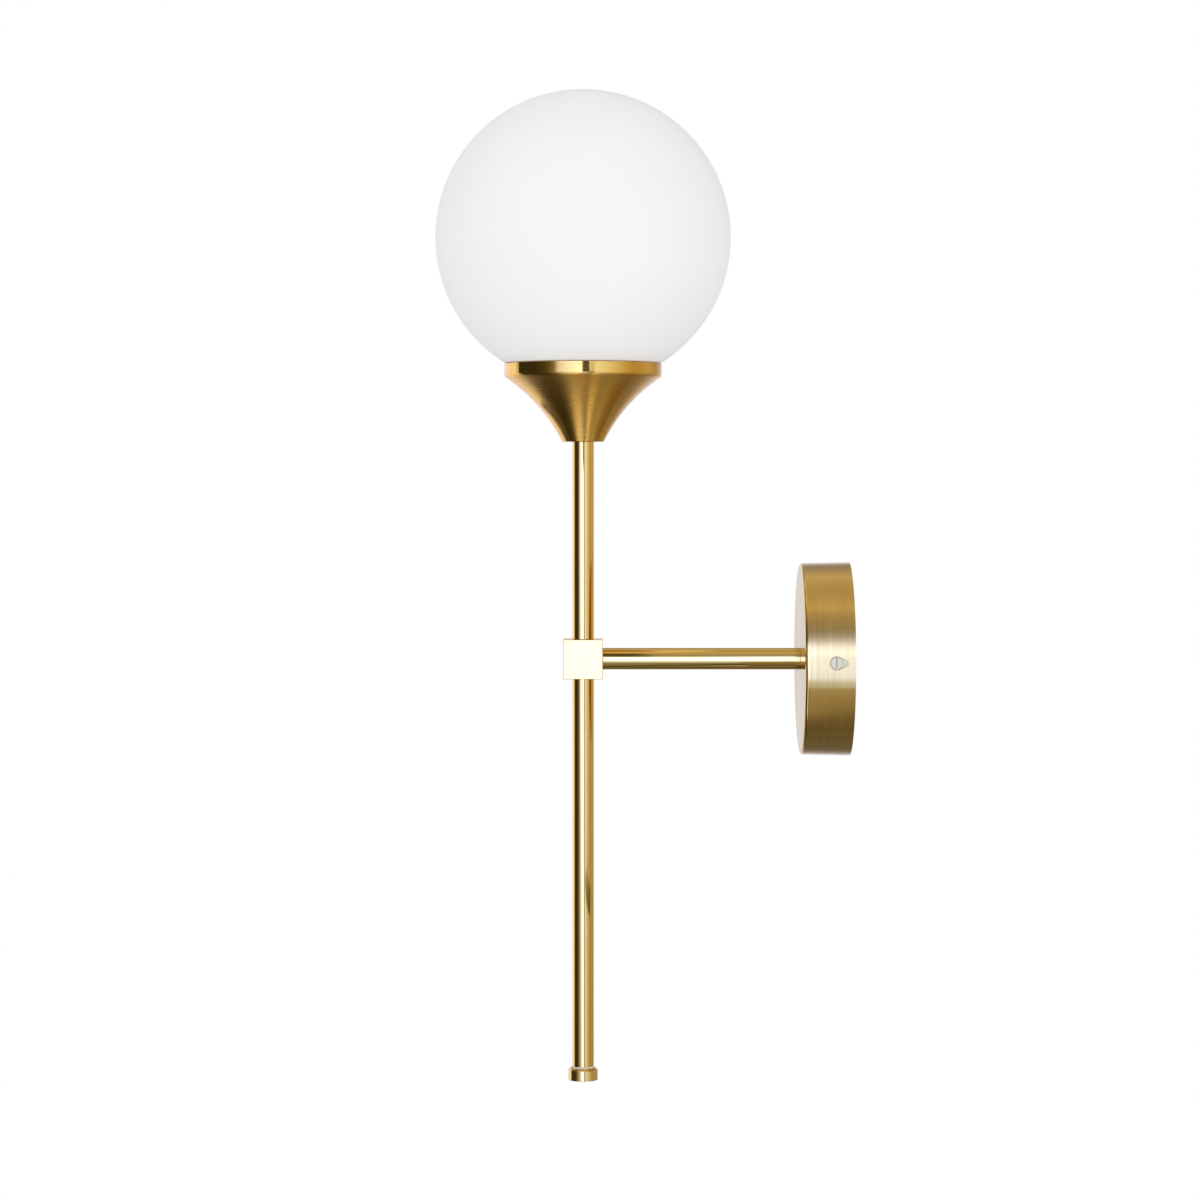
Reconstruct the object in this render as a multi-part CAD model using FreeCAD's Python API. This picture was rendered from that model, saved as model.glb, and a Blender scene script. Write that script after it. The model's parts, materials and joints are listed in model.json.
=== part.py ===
import FreeCAD, Part
import math
import os

# Globe wall sconce, in millimetres. +Z is up, the wall is the plane Y = 0 and the lamp stands out of it
# towards -Y. The origin is the middle of the bracket's back, on the wall, and the arm's axis runs along Y
# through it. The stem, the cup and the globe share one upright axis at Y = stem_y.

Vector = FreeCAD.Vector
UP = Vector(0, 0, 1)
DOWN = Vector(0, 0, -1)
OUT = Vector(0, -1, 0)

# Clearances between pieces
glass_clearance = 0.3          # the lifted globe and bulb to what carries them
thread_clearance = 0.05        # a plain nipple or screw in its hole, radially
carrier_clearance = 0.5        # glass neck round the carrier's thread, radially
hole_clearance = 0.15          # clearance holes of the cup, the canopy and the carrier, radially
tab_clearance = 0.25           # bracket tabs to the inside of the canopy

# Globe
globe_diameter = 150.0
globe_wall = 2.5
neck_diameter = 42.0
neck_wall = 2.5
neck_blend = 1.5

# Trumpet-shaped cup
cup_diameter = 80.0
cup_height = 39.5
cup_band = 6.4                 # height of the polished band under the rim
cup_band_round = 2.0
cup_foot_diameter = 21.2
cup_flare_radius = 85.0
cup_wall = 1.0
cup_floor = 1.4
cup_rim_bevel = 0.5

# Tubes and the cube that joins them
tube_diameter = 11.0
tube_wall = 1.45
tube_bevel = 0.2
upper_tube_length = 100.2
lower_tube_length = 196.8
arm_length = 100.0
cube_side = 20.0
cube_bevel = 0.25

# Hollow threaded nipples, nuts and washers
nipple_diameter = 8.0
nipple_bore = 5.5
nipple_in_tube = 12.0
nipple_in_cube = 6.0
nipple_past_nut = 1.0
nut_flats = 13.0
nut_height = 3.0
washer_diameter = 13.4
washer_height = 0.8
bush_collar = 0.8
bush_spigot = 4.0
bush_wall = 0.5

# Finial at the foot of the stem
finial_diameter = 15.0
finial_height = 6.2
finial_bevel = 1.0
finial_bottom_round = 0.33
finial_floor = 1.5
finial_ring_diameter = 10.8
finial_ring_height = 1.5
finial_recess = 0.8

# Carrier that the globe screws on to, with its seal
carrier_drop = 19.7            # from the cup's rim down to the carrier's underside
carrier_wall = 1.2
carrier_floor = 1.5
carrier_height = 12.5
carrier_lip = 0.2              # how far its flange reaches past the glass neck
seal_height = 1.2

# Ceramic lampholder on its steel strap
holder_diameter = 19.0
holder_height = 19.0
holder_lift = 1.7              # from the end of the nipple up to the ceramic
holder_recess_diameter = 15.0
holder_recess_height = 8.0
holder_web = 1.0
pin_spacing = 9.0
pin_diameter = 1.2
pin_length = 7.8
contact_lift = 0.6              # from the ceramic's web up to the contact sleeves
contact_bore = 2.0
contact_wall = 0.8
contact_length = 7.5
strap_thickness = 0.8
strap_width = 9.0
strap_gap = 0.2                # ceramic to the ears of the strap
strap_ear_height = 13.5
holder_screw_height = 10.5     # from the strap's underside up to the two ear screws
holder_screw_diameter = 2.5
holder_screw_head = 5.2
holder_screw_head_height = 1.6

# Pin-base bulb
bulb_diameter = 16.0
bulb_glass = 1.0
bulb_length = 36.0
bulb_base_length = 14.0
bulb_base_width = 8.0
bulb_base_height = 8.0
bulb_corner_share = 0.9         # corner radius of the base as a share of half its width
bulb_collar = 2.0
bulb_core_diameter = 8.0
bulb_core_length = 27.0

# Wall canopy
canopy_rear_diameter = 98.2
canopy_front_diameter = 97.2
canopy_depth = 25.0
canopy_wall = 1.2
canopy_edge_round = 1.8
canopy_least_round = 0.3        # least round inside the front edge
keyhole_diameter = 7.0
keyhole_tail_diameter = 3.8
keyhole_tail_reach = 4.0       # from the round hole's centre to the tail's, towards the wall
side_screw_from_wall = 9.65
side_screw_diameter = 4.0
side_screw_length = 6.0
side_screw_head = 5.9
side_screw_head_height = 2.2
screw_slot_width = 0.7
screw_slot_depth = 0.9

# Steel bracket on the wall
bracket_thickness = 1.5
bracket_height = 22.0
bracket_shoulder = 80.0        # width of the tall middle part
tab_width = 12.0
tab_reach = 15.0
tongue_width = 29.0
tongue_drop = 34.5             # from the arm's axis down to the end of the tongue
cable_hole_diameter = 12.0
wall_slot_spacing = 60.0
wall_slot_width = 4.5
wall_slot_length = 12.0

# Terminal block on the tongue
pole_pitch = 9.0
block_top_drop = 16.0          # from the arm's axis down to the top of the block
block_length = 16.0
block_height = 12.0
block_side = 4.5               # from an outer pole's centre to the block's end
turret_width = 4.0
turret_height = 3.5
pole_height = 5.5              # from the bracket's face to the wires' axis
barrel_diameter = 4.6
barrel_bore = 2.8
barrel_length = 12.8
block_wire_hole = 3.4
clamp_screw_diameter = 2.5
clamp_screw_spacing = 7.0
clamp_screw_sunk = 0.5
fixing_screw_diameter = 2.9
fixing_screw_head = 4.8
fixing_screw_head_height = 1.6

# Earthing point on the bracket
earth_screw_x = 21.0
earth_screw_z = -3.0
earth_screw_diameter = 4.0
earth_screw_head = 6.8
earth_screw_head_height = 2.0
lug_diameter = 7.6
lug_thickness = 0.8
lug_barrel_diameter = 3.0
lug_barrel_start = 4.2         # from the screw's centre up to the barrel
lug_barrel_length = 4.8

# Leads inside the lamp
lead_diameter = 1.8
lead_spacing = 2.1
lead_end_in_block = 5.0
lead_turn_radius = 8.0
lead_fan_radius = 10.0
lead_holder_radius = 6.0
earth_loop_radius = 6.2
earth_loop_height = 12.0
lead_fan_start = 5.0           # from the block's top up to where the leads fan out
lead_last_run = 2.3            # straight end of a lead in its contact

# Places worked out from the sizes above
stem_y = -(canopy_depth + arm_length + cube_side / 2)
foot_z = cube_side / 2 + upper_tube_length
rim_z = foot_z + cup_height
cup_radius = cup_diameter / 2
rim_edge_radius = cup_radius - cup_wall + cup_rim_bevel
globe_radius = globe_diameter / 2
globe_z = rim_z + math.sqrt((globe_radius + glass_clearance) ** 2 - rim_edge_radius ** 2)
carrier_z = rim_z - carrier_drop
seal_z = carrier_z + carrier_floor
neck_z = seal_z + seal_height + glass_clearance
neck_radius = neck_diameter / 2
neck_inner_radius = neck_radius - neck_wall
neck_top = globe_z - math.sqrt((globe_radius + neck_blend) ** 2 - (neck_radius + neck_blend) ** 2)
carrier_radius = neck_inner_radius - carrier_clearance
strap_z = carrier_z + carrier_floor
cup_nipple_top = strap_z + strap_thickness + nut_height + nipple_past_nut
holder_z = cup_nipple_top + holder_lift
holder_top = holder_z + holder_height
bulb_z = holder_top + glass_clearance
lower_end_z = -cube_side / 2 - lower_tube_length
finial_top = lower_end_z - finial_ring_height + finial_recess
finial_bottom = finial_top - finial_height
canopy_nipple_end = canopy_depth - canopy_wall - washer_height - nut_height - nipple_past_nut
canopy_taper = (canopy_rear_diameter - canopy_front_diameter) / 2 / canopy_depth
tab_corner = canopy_rear_diameter / 2 - canopy_taper * tab_reach - canopy_wall - tab_clearance
tab_outer = math.sqrt(tab_corner ** 2 - tab_width ** 2 / 4)
block_top_z = -block_top_drop
block_face_y = -bracket_thickness
pole_y = -bracket_thickness - pole_height
nipple_radius = nipple_diameter / 2
threaded_radius = nipple_radius + thread_clearance
clear_radius = nipple_radius + hole_clearance


def cylinder(radius, length, base, direction=UP):
    return Part.makeCylinder(radius, length, base, direction)


def ring(outer, inner, length, base, direction=UP):
    return cylinder(outer, length, base, direction).cut(cylinder(inner, length, base, direction))


def box(low, high):
    size = high - low
    return Part.makeBox(size.x, size.y, size.z, low)


def on_stem(height, x=0.0):
    return Vector(x, stem_y, height)


def turned(edges):
    """Solid turned about the upright Z axis from a closed outline in the XZ plane."""
    face = Part.Face(Part.Wire(Part.__sortEdges__(edges)))
    return face.revolve(Vector(0, 0, 0), UP, 360)


def outline(points):
    """Straight edges through (radius, height) points, not closed."""
    corners = [Vector(radius, 0, height) for radius, height in points]
    return [Part.LineSegment(a, b).toShape() for a, b in zip(corners, corners[1:])]


def arc(start, middle, end):
    return Part.Arc(*[Vector(radius, 0, height) for radius, height in (start, middle, end)]).toShape()


def edges_near(shape, radius, height):
    """Circular edges round the Z axis at one radius and height."""
    found = []
    for edge in shape.Edges:
        if edge.Degenerated or not isinstance(edge.Curve, Part.Circle):
            continue
        if abs(edge.Curve.Radius - radius) < 0.01 and abs(edge.Curve.Center.z - height) < 0.01:
            found.append(edge)
    return found


def hex_nut(base, direction):
    corner = nut_flats / 2 / math.cos(math.radians(30))
    turns = [math.radians(60 * step) for step in range(7)]
    hexagon = Part.makePolygon([Vector(corner * math.cos(t), corner * math.sin(t), 0) for t in turns])
    nut = Part.Face(hexagon).extrude(Vector(0, 0, nut_height))
    nut = nut.cut(cylinder(threaded_radius, nut_height, Vector(0, 0, 0)))
    nut.Placement = FreeCAD.Placement(base, FreeCAD.Rotation(UP, direction))
    return nut


def slotted_screw(tip, direction, shank, head, head_height, length, slot_axis):
    """Cheese-head screw: tip is the end of its shank, direction points from there to the head."""
    head_base = tip + direction * length
    screw = cylinder(shank / 2, length, tip, direction)
    screw = screw.fuse(cylinder(head / 2, head_height, head_base, direction)).removeSplitter()
    across = direction.cross(slot_axis)
    slot_bottom = head_base + direction * (head_height - screw_slot_depth)
    corner = slot_bottom - slot_axis * head - across * (screw_slot_width / 2)
    far = corner + slot_axis * (2 * head) + across * screw_slot_width + direction * head_height
    low = Vector(min(corner.x, far.x), min(corner.y, far.y), min(corner.z, far.z))
    high = Vector(max(corner.x, far.x), max(corner.y, far.y), max(corner.z, far.z))
    return screw.cut(box(low, high))


def globe_shade():
    """The ball of the glass, down to where the blend into its neck ends."""
    inner_radius = globe_radius - globe_wall
    outer_join = globe_z - math.sqrt(globe_radius ** 2 - neck_radius ** 2)
    inner_join = globe_z - math.sqrt(inner_radius ** 2 - neck_inner_radius ** 2)
    edges = [
        arc((neck_radius, outer_join), (globe_radius, globe_z), (0, globe_z + globe_radius)),
        arc((0, globe_z + inner_radius), (inner_radius, globe_z), (neck_inner_radius, inner_join)),
    ]
    edges += outline([(0, globe_z + globe_radius), (0, globe_z + inner_radius)])
    edges += outline([(neck_inner_radius, inner_join), (neck_inner_radius, neck_z), (neck_radius, neck_z),
                      (neck_radius, outer_join)])
    glass = turned(edges)
    glass = glass.makeFillet(neck_blend, edges_near(glass, neck_radius, outer_join))
    glass.translate(on_stem(0))
    return glass.cut(cylinder(neck_diameter, neck_top - neck_z, on_stem(neck_z)))


def globe_neck():
    """The plain part of the neck, which is one glass with the ball."""
    return ring(neck_radius, neck_inner_radius, neck_top - neck_z, on_stem(neck_z))


def flare_centre():
    """Centre of the arc that the cup's outer flare follows, and the unit vector from the arc to it."""
    top = Vector(cup_radius, 0, rim_z - cup_band)
    foot = Vector(cup_foot_diameter / 2, 0, foot_z)
    chord = foot - top
    outward = Vector(-chord.z, 0, chord.x) / chord.Length
    rise = math.sqrt(cup_flare_radius ** 2 - chord.Length ** 2 / 4)
    return (top + foot) / 2 + outward * rise, outward


def cup_inner_radius(height):
    centre, _ = flare_centre()
    reach = cup_flare_radius + cup_wall
    return centre.x - math.sqrt(reach ** 2 - (height - centre.z) ** 2)


def lamp_cup():
    centre, outward = flare_centre()
    foot_radius = cup_foot_diameter / 2
    band_z = rim_z - cup_band
    waist = centre - outward * cup_flare_radius
    edges = outline([(cup_radius, band_z), (cup_radius, rim_z), (0, rim_z), (0, foot_z),
                     (foot_radius, foot_z)])
    edges.append(arc((foot_radius, foot_z), (waist.x, waist.z), (cup_radius, band_z)))
    cup = turned(edges)
    cup = cup.makeFillet(cup_band_round, edges_near(cup, cup_radius, band_z))
    inner_rim = cup_radius - cup_wall
    floor_z = foot_z + cup_floor
    floor_radius = cup_inner_radius(floor_z)
    inner_reach = cup_flare_radius + cup_wall
    inner_band_z = centre.z + math.sqrt(inner_reach ** 2 - (centre.x - inner_rim) ** 2)
    inner_waist = centre - outward * inner_reach
    edges = outline([(inner_rim, inner_band_z), (inner_rim, rim_z - cup_rim_bevel),
                     (rim_edge_radius, rim_z), (0, rim_z), (0, floor_z), (floor_radius, floor_z)])
    edges.append(arc((floor_radius, floor_z), (inner_waist.x, inner_waist.z), (inner_rim, inner_band_z)))
    cup = cup.cut(turned(edges))
    cup = cup.cut(cylinder(clear_radius, cup_floor, Vector(0, 0, foot_z)))
    cup.translate(on_stem(0))
    return cup


def tube(length, base, direction):
    pipe = ring(tube_diameter / 2, tube_diameter / 2 - tube_wall, length, Vector(0, 0, 0))
    rims = [edge for height in (0, length) for edge in edges_near(pipe, tube_diameter / 2, height)]
    pipe = pipe.makeChamfer(tube_bevel, rims)
    pipe.Placement = FreeCAD.Placement(base, FreeCAD.Rotation(UP, direction))
    return pipe


def nipple(length, base, direction):
    return ring(nipple_radius, nipple_bore / 2, length, base, direction)


def wire_bush(end, inward):
    """Collared plastic bush that lines the end of a nipple, with inward pointing into the nipple."""
    spigot = nipple_bore / 2 - thread_clearance
    collar = cylinder(nipple_radius, bush_collar, end - inward * bush_collar, inward)
    bush = collar.fuse(cylinder(spigot, bush_spigot, end, inward)).removeSplitter()
    bore = cylinder(spigot - bush_wall, bush_collar + bush_spigot, end - inward * bush_collar, inward)
    return bush.cut(bore)


def junction_cube():
    half = cube_side / 2
    cube = box(Vector(-half, stem_y - half, -half), Vector(half, stem_y + half, half))
    cube = cube.makeChamfer(cube_bevel, cube.Edges)
    upright = cylinder(threaded_radius, cube_side, on_stem(-half))
    inlet = cylinder(threaded_radius, half, on_stem(0), Vector(0, 1, 0))
    return cube.cut(upright.fuse(inlet))


def finial_cap():
    radius = finial_diameter / 2
    recess_radius = finial_ring_diameter / 2 + 2 * glass_clearance
    cap = cylinder(radius, finial_height, on_stem(finial_bottom))
    cap = cap.makeChamfer(finial_bevel, edges_near(cap, radius, finial_top))
    cap = cap.makeFillet(finial_bottom_round, edges_near(cap, radius, finial_bottom))
    socket_z = finial_bottom + finial_floor
    cap = cap.cut(cylinder(threaded_radius, finial_height, on_stem(socket_z)))
    return cap.cut(cylinder(recess_radius, finial_recess, on_stem(finial_top - finial_recess)))


def finial_ring():
    base = on_stem(finial_top - finial_recess)
    return ring(finial_ring_diameter / 2, clear_radius, finial_ring_height, base)


def shade_carrier():
    flange = cylinder(neck_radius + carrier_lip, carrier_floor, on_stem(carrier_z))
    carrier = flange.fuse(cylinder(carrier_radius, carrier_height, on_stem(carrier_z))).removeSplitter()
    hollow = cylinder(carrier_radius - carrier_wall, carrier_height, on_stem(carrier_z + carrier_floor))
    return carrier.cut(hollow).cut(cylinder(clear_radius, carrier_floor, on_stem(carrier_z)))


def shade_seal():
    return ring(neck_radius, carrier_radius + thread_clearance, seal_height, on_stem(seal_z))


def lampholder_strap():
    inner = holder_diameter / 2 + strap_gap
    outer = inner + strap_thickness
    half = strap_width / 2
    base_low = Vector(-outer, stem_y - half, strap_z)
    base_high = Vector(outer, stem_y + half, strap_z + strap_thickness)
    strap = box(base_low, base_high)
    for side in (-1, 1):
        low = Vector(min(side * inner, side * outer), stem_y - half, strap_z)
        high = Vector(max(side * inner, side * outer), stem_y + half, strap_z + strap_ear_height)
        strap = strap.fuse(box(low, high))
    strap = strap.removeSplitter().cut(cylinder(clear_radius, strap_thickness, on_stem(strap_z)))
    screw_radius = holder_screw_diameter / 2 + thread_clearance
    start = on_stem(strap_z + holder_screw_height, -outer)
    return strap.cut(cylinder(screw_radius, 2 * outer, start, Vector(1, 0, 0)))


def lampholder_body():
    ceramic = cylinder(holder_diameter / 2, holder_height, on_stem(holder_z))
    ceramic = ceramic.makeChamfer(holder_web / 2, edges_near(ceramic, holder_diameter / 2, holder_top))
    ceramic = ceramic.cut(cylinder(holder_recess_diameter / 2, holder_recess_height, on_stem(holder_z)))
    screw_radius = holder_screw_diameter / 2 + thread_clearance
    start = on_stem(strap_z + holder_screw_height, -holder_diameter)
    ceramic = ceramic.cut(cylinder(screw_radius, 2 * holder_diameter, start, Vector(1, 0, 0)))
    web_z = holder_z + holder_recess_height
    for side in (-1, 1):
        x = side * pin_spacing / 2
        ceramic = ceramic.cut(cylinder(lead_diameter / 2 + hole_clearance, holder_web, on_stem(web_z, x)))
        bore_radius = contact_bore / 2 + contact_wall + thread_clearance
        ceramic = ceramic.cut(cylinder(bore_radius, holder_height, on_stem(web_z + holder_web, x)))
    return ceramic


def lampholder_contacts():
    base_z = holder_z + holder_recess_height + holder_web + contact_lift
    sleeves = []
    for side in (-1, 1):
        place = on_stem(base_z, side * pin_spacing / 2)
        sleeve = cylinder(contact_bore / 2 + contact_wall, contact_length, place)
        sleeves.append(sleeve.cut(cylinder(contact_bore / 2, contact_length, place + UP * contact_wall)))
    return Part.Compound(sleeves)


def lampholder_screws():
    screws = []
    grip = strap_thickness + strap_gap + (holder_diameter - holder_recess_diameter) / 2
    for side in (-1, 1):
        outward = Vector(side, 0, 0)
        ear = holder_diameter / 2 + strap_gap + strap_thickness
        tip = on_stem(strap_z + holder_screw_height, side * (ear - grip))
        screws.append(slotted_screw(tip, outward, holder_screw_diameter, holder_screw_head,
                                    holder_screw_head_height, grip, UP))
    return Part.Compound(screws)


def bulb_base():
    half_length = bulb_base_length / 2
    half_width = bulb_base_width / 2
    low = Vector(-half_length, stem_y - half_width, bulb_z)
    high = Vector(half_length, stem_y + half_width, bulb_z + bulb_base_height)
    foot = box(low, high)
    corners = [edge for edge in foot.Edges if abs(edge.tangentAt(edge.FirstParameter).z) > 0.5]
    foot = foot.makeFillet(half_width * bulb_corner_share, corners)
    collar = cylinder(bulb_diameter / 2, bulb_collar, on_stem(bulb_z + bulb_base_height))
    return foot.fuse(collar).removeSplitter()


def bulb_envelope():
    base_z = bulb_z + bulb_base_height + bulb_collar
    outer = bulb_diameter / 2
    inner = outer - bulb_glass
    dome_z = base_z + bulb_length - outer
    half = math.sqrt(0.5)
    edges = outline([(0, dome_z + inner), (0, dome_z + outer)])
    edges.append(arc((0, dome_z + outer), (outer * half, dome_z + outer * half), (outer, dome_z)))
    edges += outline([(outer, dome_z), (outer, base_z), (inner, base_z), (inner, dome_z)])
    edges.append(arc((inner, dome_z), (inner * half, dome_z + inner * half), (0, dome_z + inner)))
    glass = turned(edges)
    glass.translate(on_stem(0))
    return glass


def bulb_core():
    base_z = bulb_z + bulb_base_height + bulb_collar
    core = cylinder(bulb_core_diameter / 2, bulb_core_length, on_stem(base_z))
    return core.makeChamfer(bulb_glass, edges_near(core, bulb_core_diameter / 2, base_z + bulb_core_length))


def bulb_pins():
    pins = []
    for side in (-1, 1):
        pins.append(cylinder(pin_diameter / 2, pin_length, on_stem(bulb_z, side * pin_spacing / 2), DOWN))
    return Part.Compound(pins)


def canopy_profile(inset):
    """Closed solid inside the canopy's outer face by inset, turned about Z with the wall at Z = 0."""
    rear = canopy_rear_diameter / 2 - inset
    front = canopy_front_diameter / 2 - inset
    depth = canopy_depth - inset
    corners = [(0, 0), (rear, 0), (front, depth), (0, depth), (0, 0)]
    solid = turned(outline(corners))
    edge_round = max(canopy_edge_round - inset, canopy_least_round)
    return solid.makeFillet(edge_round, edges_near(solid, front, depth))


def keyhole(side):
    """Teardrop cut through one side of the canopy: a round hole with a tail towards the wall."""
    reach = canopy_rear_diameter / 2
    outward = Vector(side, 0, 0)
    hole_radius = keyhole_diameter / 2
    tail_radius = keyhole_tail_diameter / 2
    centre = Vector(side * reach / 2, -side_screw_from_wall, 0)
    tail = centre + Vector(0, keyhole_tail_reach, 0)
    lean = math.asin((hole_radius - tail_radius) / keyhole_tail_reach)
    corners = []
    for point, radius in ((centre, hole_radius), (tail, tail_radius)):
        rise = radius * math.cos(lean)
        along = radius * math.sin(lean)
        corners.append([point + Vector(0, along, rise), point + Vector(0, along, -rise)])
    quad = [corners[0][0], corners[1][0], corners[1][1], corners[0][1], corners[0][0]]
    taper = Part.Face(Part.makePolygon(quad)).extrude(outward * reach)
    hole = cylinder(hole_radius, reach, centre, outward).fuse(cylinder(tail_radius, reach, tail, outward))
    return hole.fuse(taper).removeSplitter()


def canopy():
    shell = canopy_profile(0).cut(canopy_profile(canopy_wall))
    rear_radius = canopy_rear_diameter / 2 - canopy_wall
    shell = shell.cut(cylinder(rear_radius, canopy_wall, Vector(0, 0, 0)))
    shell.rotate(Vector(0, 0, 0), Vector(1, 0, 0), 90)
    shell = shell.cut(cylinder(clear_radius, canopy_depth, Vector(0, 0, 0), OUT))
    for side in (-1, 1):
        shell = shell.cut(keyhole(side))
    return shell


def wall_slot(x):
    """Slotted hole along X for a wall screw."""
    radius = wall_slot_width / 2
    half = wall_slot_length / 2 - radius
    slot = box(Vector(x - half, -bracket_thickness, -radius), Vector(x + half, 0, radius))
    for end in (-half, half):
        slot = slot.fuse(cylinder(radius, bracket_thickness, Vector(x + end, 0, 0), OUT))
    return slot.removeSplitter()


def wall_bracket():
    front = -bracket_thickness
    half_height = bracket_height / 2
    half_tab = tab_width / 2
    half_tongue = tongue_width / 2
    half_shoulder = bracket_shoulder / 2
    middle = box(Vector(-half_shoulder, front, -half_height), Vector(half_shoulder, 0, half_height))
    arms = box(Vector(-tab_outer, front, -half_tab), Vector(tab_outer, 0, half_tab))
    tongue = box(Vector(-half_tongue, front, -tongue_drop), Vector(half_tongue, 0, 0))
    plate = middle.fuse(arms).fuse(tongue)
    for side in (-1, 1):
        inner = side * (tab_outer - bracket_thickness)
        outer = side * tab_outer
        low = Vector(min(inner, outer), -tab_reach, -half_tab)
        high = Vector(max(inner, outer), 0, half_tab)
        plate = plate.fuse(box(low, high))
    plate = plate.removeSplitter()
    plate = plate.cut(cylinder(cable_hole_diameter / 2, bracket_thickness, Vector(0, 0, 0), OUT))
    fixing_radius = fixing_screw_diameter / 2 + thread_clearance
    for side in (-1, 1):
        plate = plate.cut(wall_slot(side * wall_slot_spacing / 2))
        fixing = Vector(side * pole_pitch / 2, 0, block_top_z - block_length / 2)
        plate = plate.cut(cylinder(fixing_radius, bracket_thickness, fixing, OUT))
    side_hole = Vector(-tab_outer, -side_screw_from_wall, 0)
    side_radius = side_screw_diameter / 2 + thread_clearance
    plate = plate.cut(cylinder(side_radius, 2 * tab_outer, side_hole, Vector(1, 0, 0)))
    earth_hole = Vector(earth_screw_x, 0, earth_screw_z)
    earth_radius = earth_screw_diameter / 2 + thread_clearance
    return plate.cut(cylinder(earth_radius, bracket_thickness, earth_hole, OUT))


def canopy_screws():
    screws = []
    for side in (-1, 1):
        outward = Vector(side, 0, 0)
        tip = Vector(side * (tab_outer + glass_clearance - side_screw_length), -side_screw_from_wall, 0)
        screws.append(slotted_screw(tip, outward, side_screw_diameter, side_screw_head,
                                    side_screw_head_height, side_screw_length, UP))
    return Part.Compound(screws)


def pole_places():
    return [Vector(step * pole_pitch, pole_y, block_top_z) for step in (-1, 0, 1)]


def clamp_screw_places(pole):
    middle = block_top_z - block_length / 2
    return [Vector(pole.x, pole.y, middle + step * clamp_screw_spacing / 2) for step in (-1, 1)]


def terminal_block():
    half = pole_pitch + block_side
    front = block_face_y - block_height
    low = Vector(-half, front, block_top_z - block_length)
    block = box(low, Vector(half, block_face_y, block_top_z))
    turret_sides = [pole.x + end * turret_width / 2 for pole in pole_places() for end in (-1, 1)]
    spans = [-half] + turret_sides + [half]
    for left, right in zip(spans[::2], spans[1::2]):
        gap_low = Vector(left, front, block_top_z - block_length)
        block = block.cut(box(gap_low, Vector(right, front + turret_height, block_top_z)))
    cavity_start = (block_length - barrel_length) / 2 - thread_clearance
    cavity_length = barrel_length + 2 * thread_clearance
    for pole in pole_places():
        block = block.cut(cylinder(block_wire_hole / 2, block_length, pole, DOWN))
        cavity_radius = barrel_diameter / 2 + thread_clearance
        block = block.cut(cylinder(cavity_radius, cavity_length, pole + DOWN * cavity_start, DOWN))
        for place in clamp_screw_places(pole):
            block = block.cut(cylinder(clamp_screw_diameter / 2 + hole_clearance, block_height, place, OUT))
    for side in (-1, 1):
        fixing = Vector(side * pole_pitch / 2, block_face_y, block_top_z - block_length / 2)
        block = block.cut(cylinder(fixing_screw_diameter / 2 + thread_clearance, block_height, fixing, OUT))
    return block


def terminal_barrels():
    barrels = []
    start = (block_length - barrel_length) / 2
    for pole in pole_places():
        barrel = ring(barrel_diameter / 2, barrel_bore / 2, barrel_length, pole + DOWN * start, DOWN)
        for place in clamp_screw_places(pole):
            hole = cylinder(clamp_screw_diameter / 2 + thread_clearance, barrel_diameter, place, OUT)
            barrel = barrel.cut(hole)
        barrels.append(barrel)
    return Part.Compound(barrels)


def terminal_screws():
    """Clamp screws, each from just above the wire up to just under the top of its turret."""
    screws = []
    lift = lead_diameter / 2 + thread_clearance
    length = block_height - pole_height - clamp_screw_sunk - lift
    for pole in pole_places():
        for place in clamp_screw_places(pole):
            screws.append(cylinder(clamp_screw_diameter / 2, length, place + OUT * lift, OUT))
    return Part.Compound(screws)


def terminal_fixing_screws():
    screws = []
    length = block_height - turret_height + bracket_thickness
    for side in (-1, 1):
        tip = Vector(side * pole_pitch / 2, 0, block_top_z - block_length / 2)
        screws.append(slotted_screw(tip, OUT, fixing_screw_diameter, fixing_screw_head,
                                    fixing_screw_head_height, length, UP))
    return Part.Compound(screws)


def earth_screw():
    tip = Vector(earth_screw_x, 0, earth_screw_z)
    return slotted_screw(tip, OUT, earth_screw_diameter, earth_screw_head, earth_screw_head_height,
                         bracket_thickness + lug_thickness, UP)


def earth_lug():
    """Ring terminal under the earth screw, with its crimped barrel pointing up."""
    centre = Vector(earth_screw_x, block_face_y, earth_screw_z)
    barrel_radius = lug_barrel_diameter / 2
    barrel_foot = centre + UP * lug_barrel_start + OUT * barrel_radius
    neck_low = centre + Vector(-barrel_radius, -lug_thickness, 0)
    neck_high = centre + Vector(barrel_radius, 0, lug_barrel_start + barrel_radius)
    lug = cylinder(lug_diameter / 2, lug_thickness, centre, OUT).fuse(box(neck_low, neck_high))
    lug = lug.fuse(cylinder(barrel_radius, lug_barrel_length, barrel_foot)).removeSplitter()
    lug = lug.cut(cylinder(lead_diameter / 2 + thread_clearance, lug_barrel_length, barrel_foot))
    return lug.cut(cylinder(earth_screw_diameter / 2 + thread_clearance, lug_thickness, centre, OUT))


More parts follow.
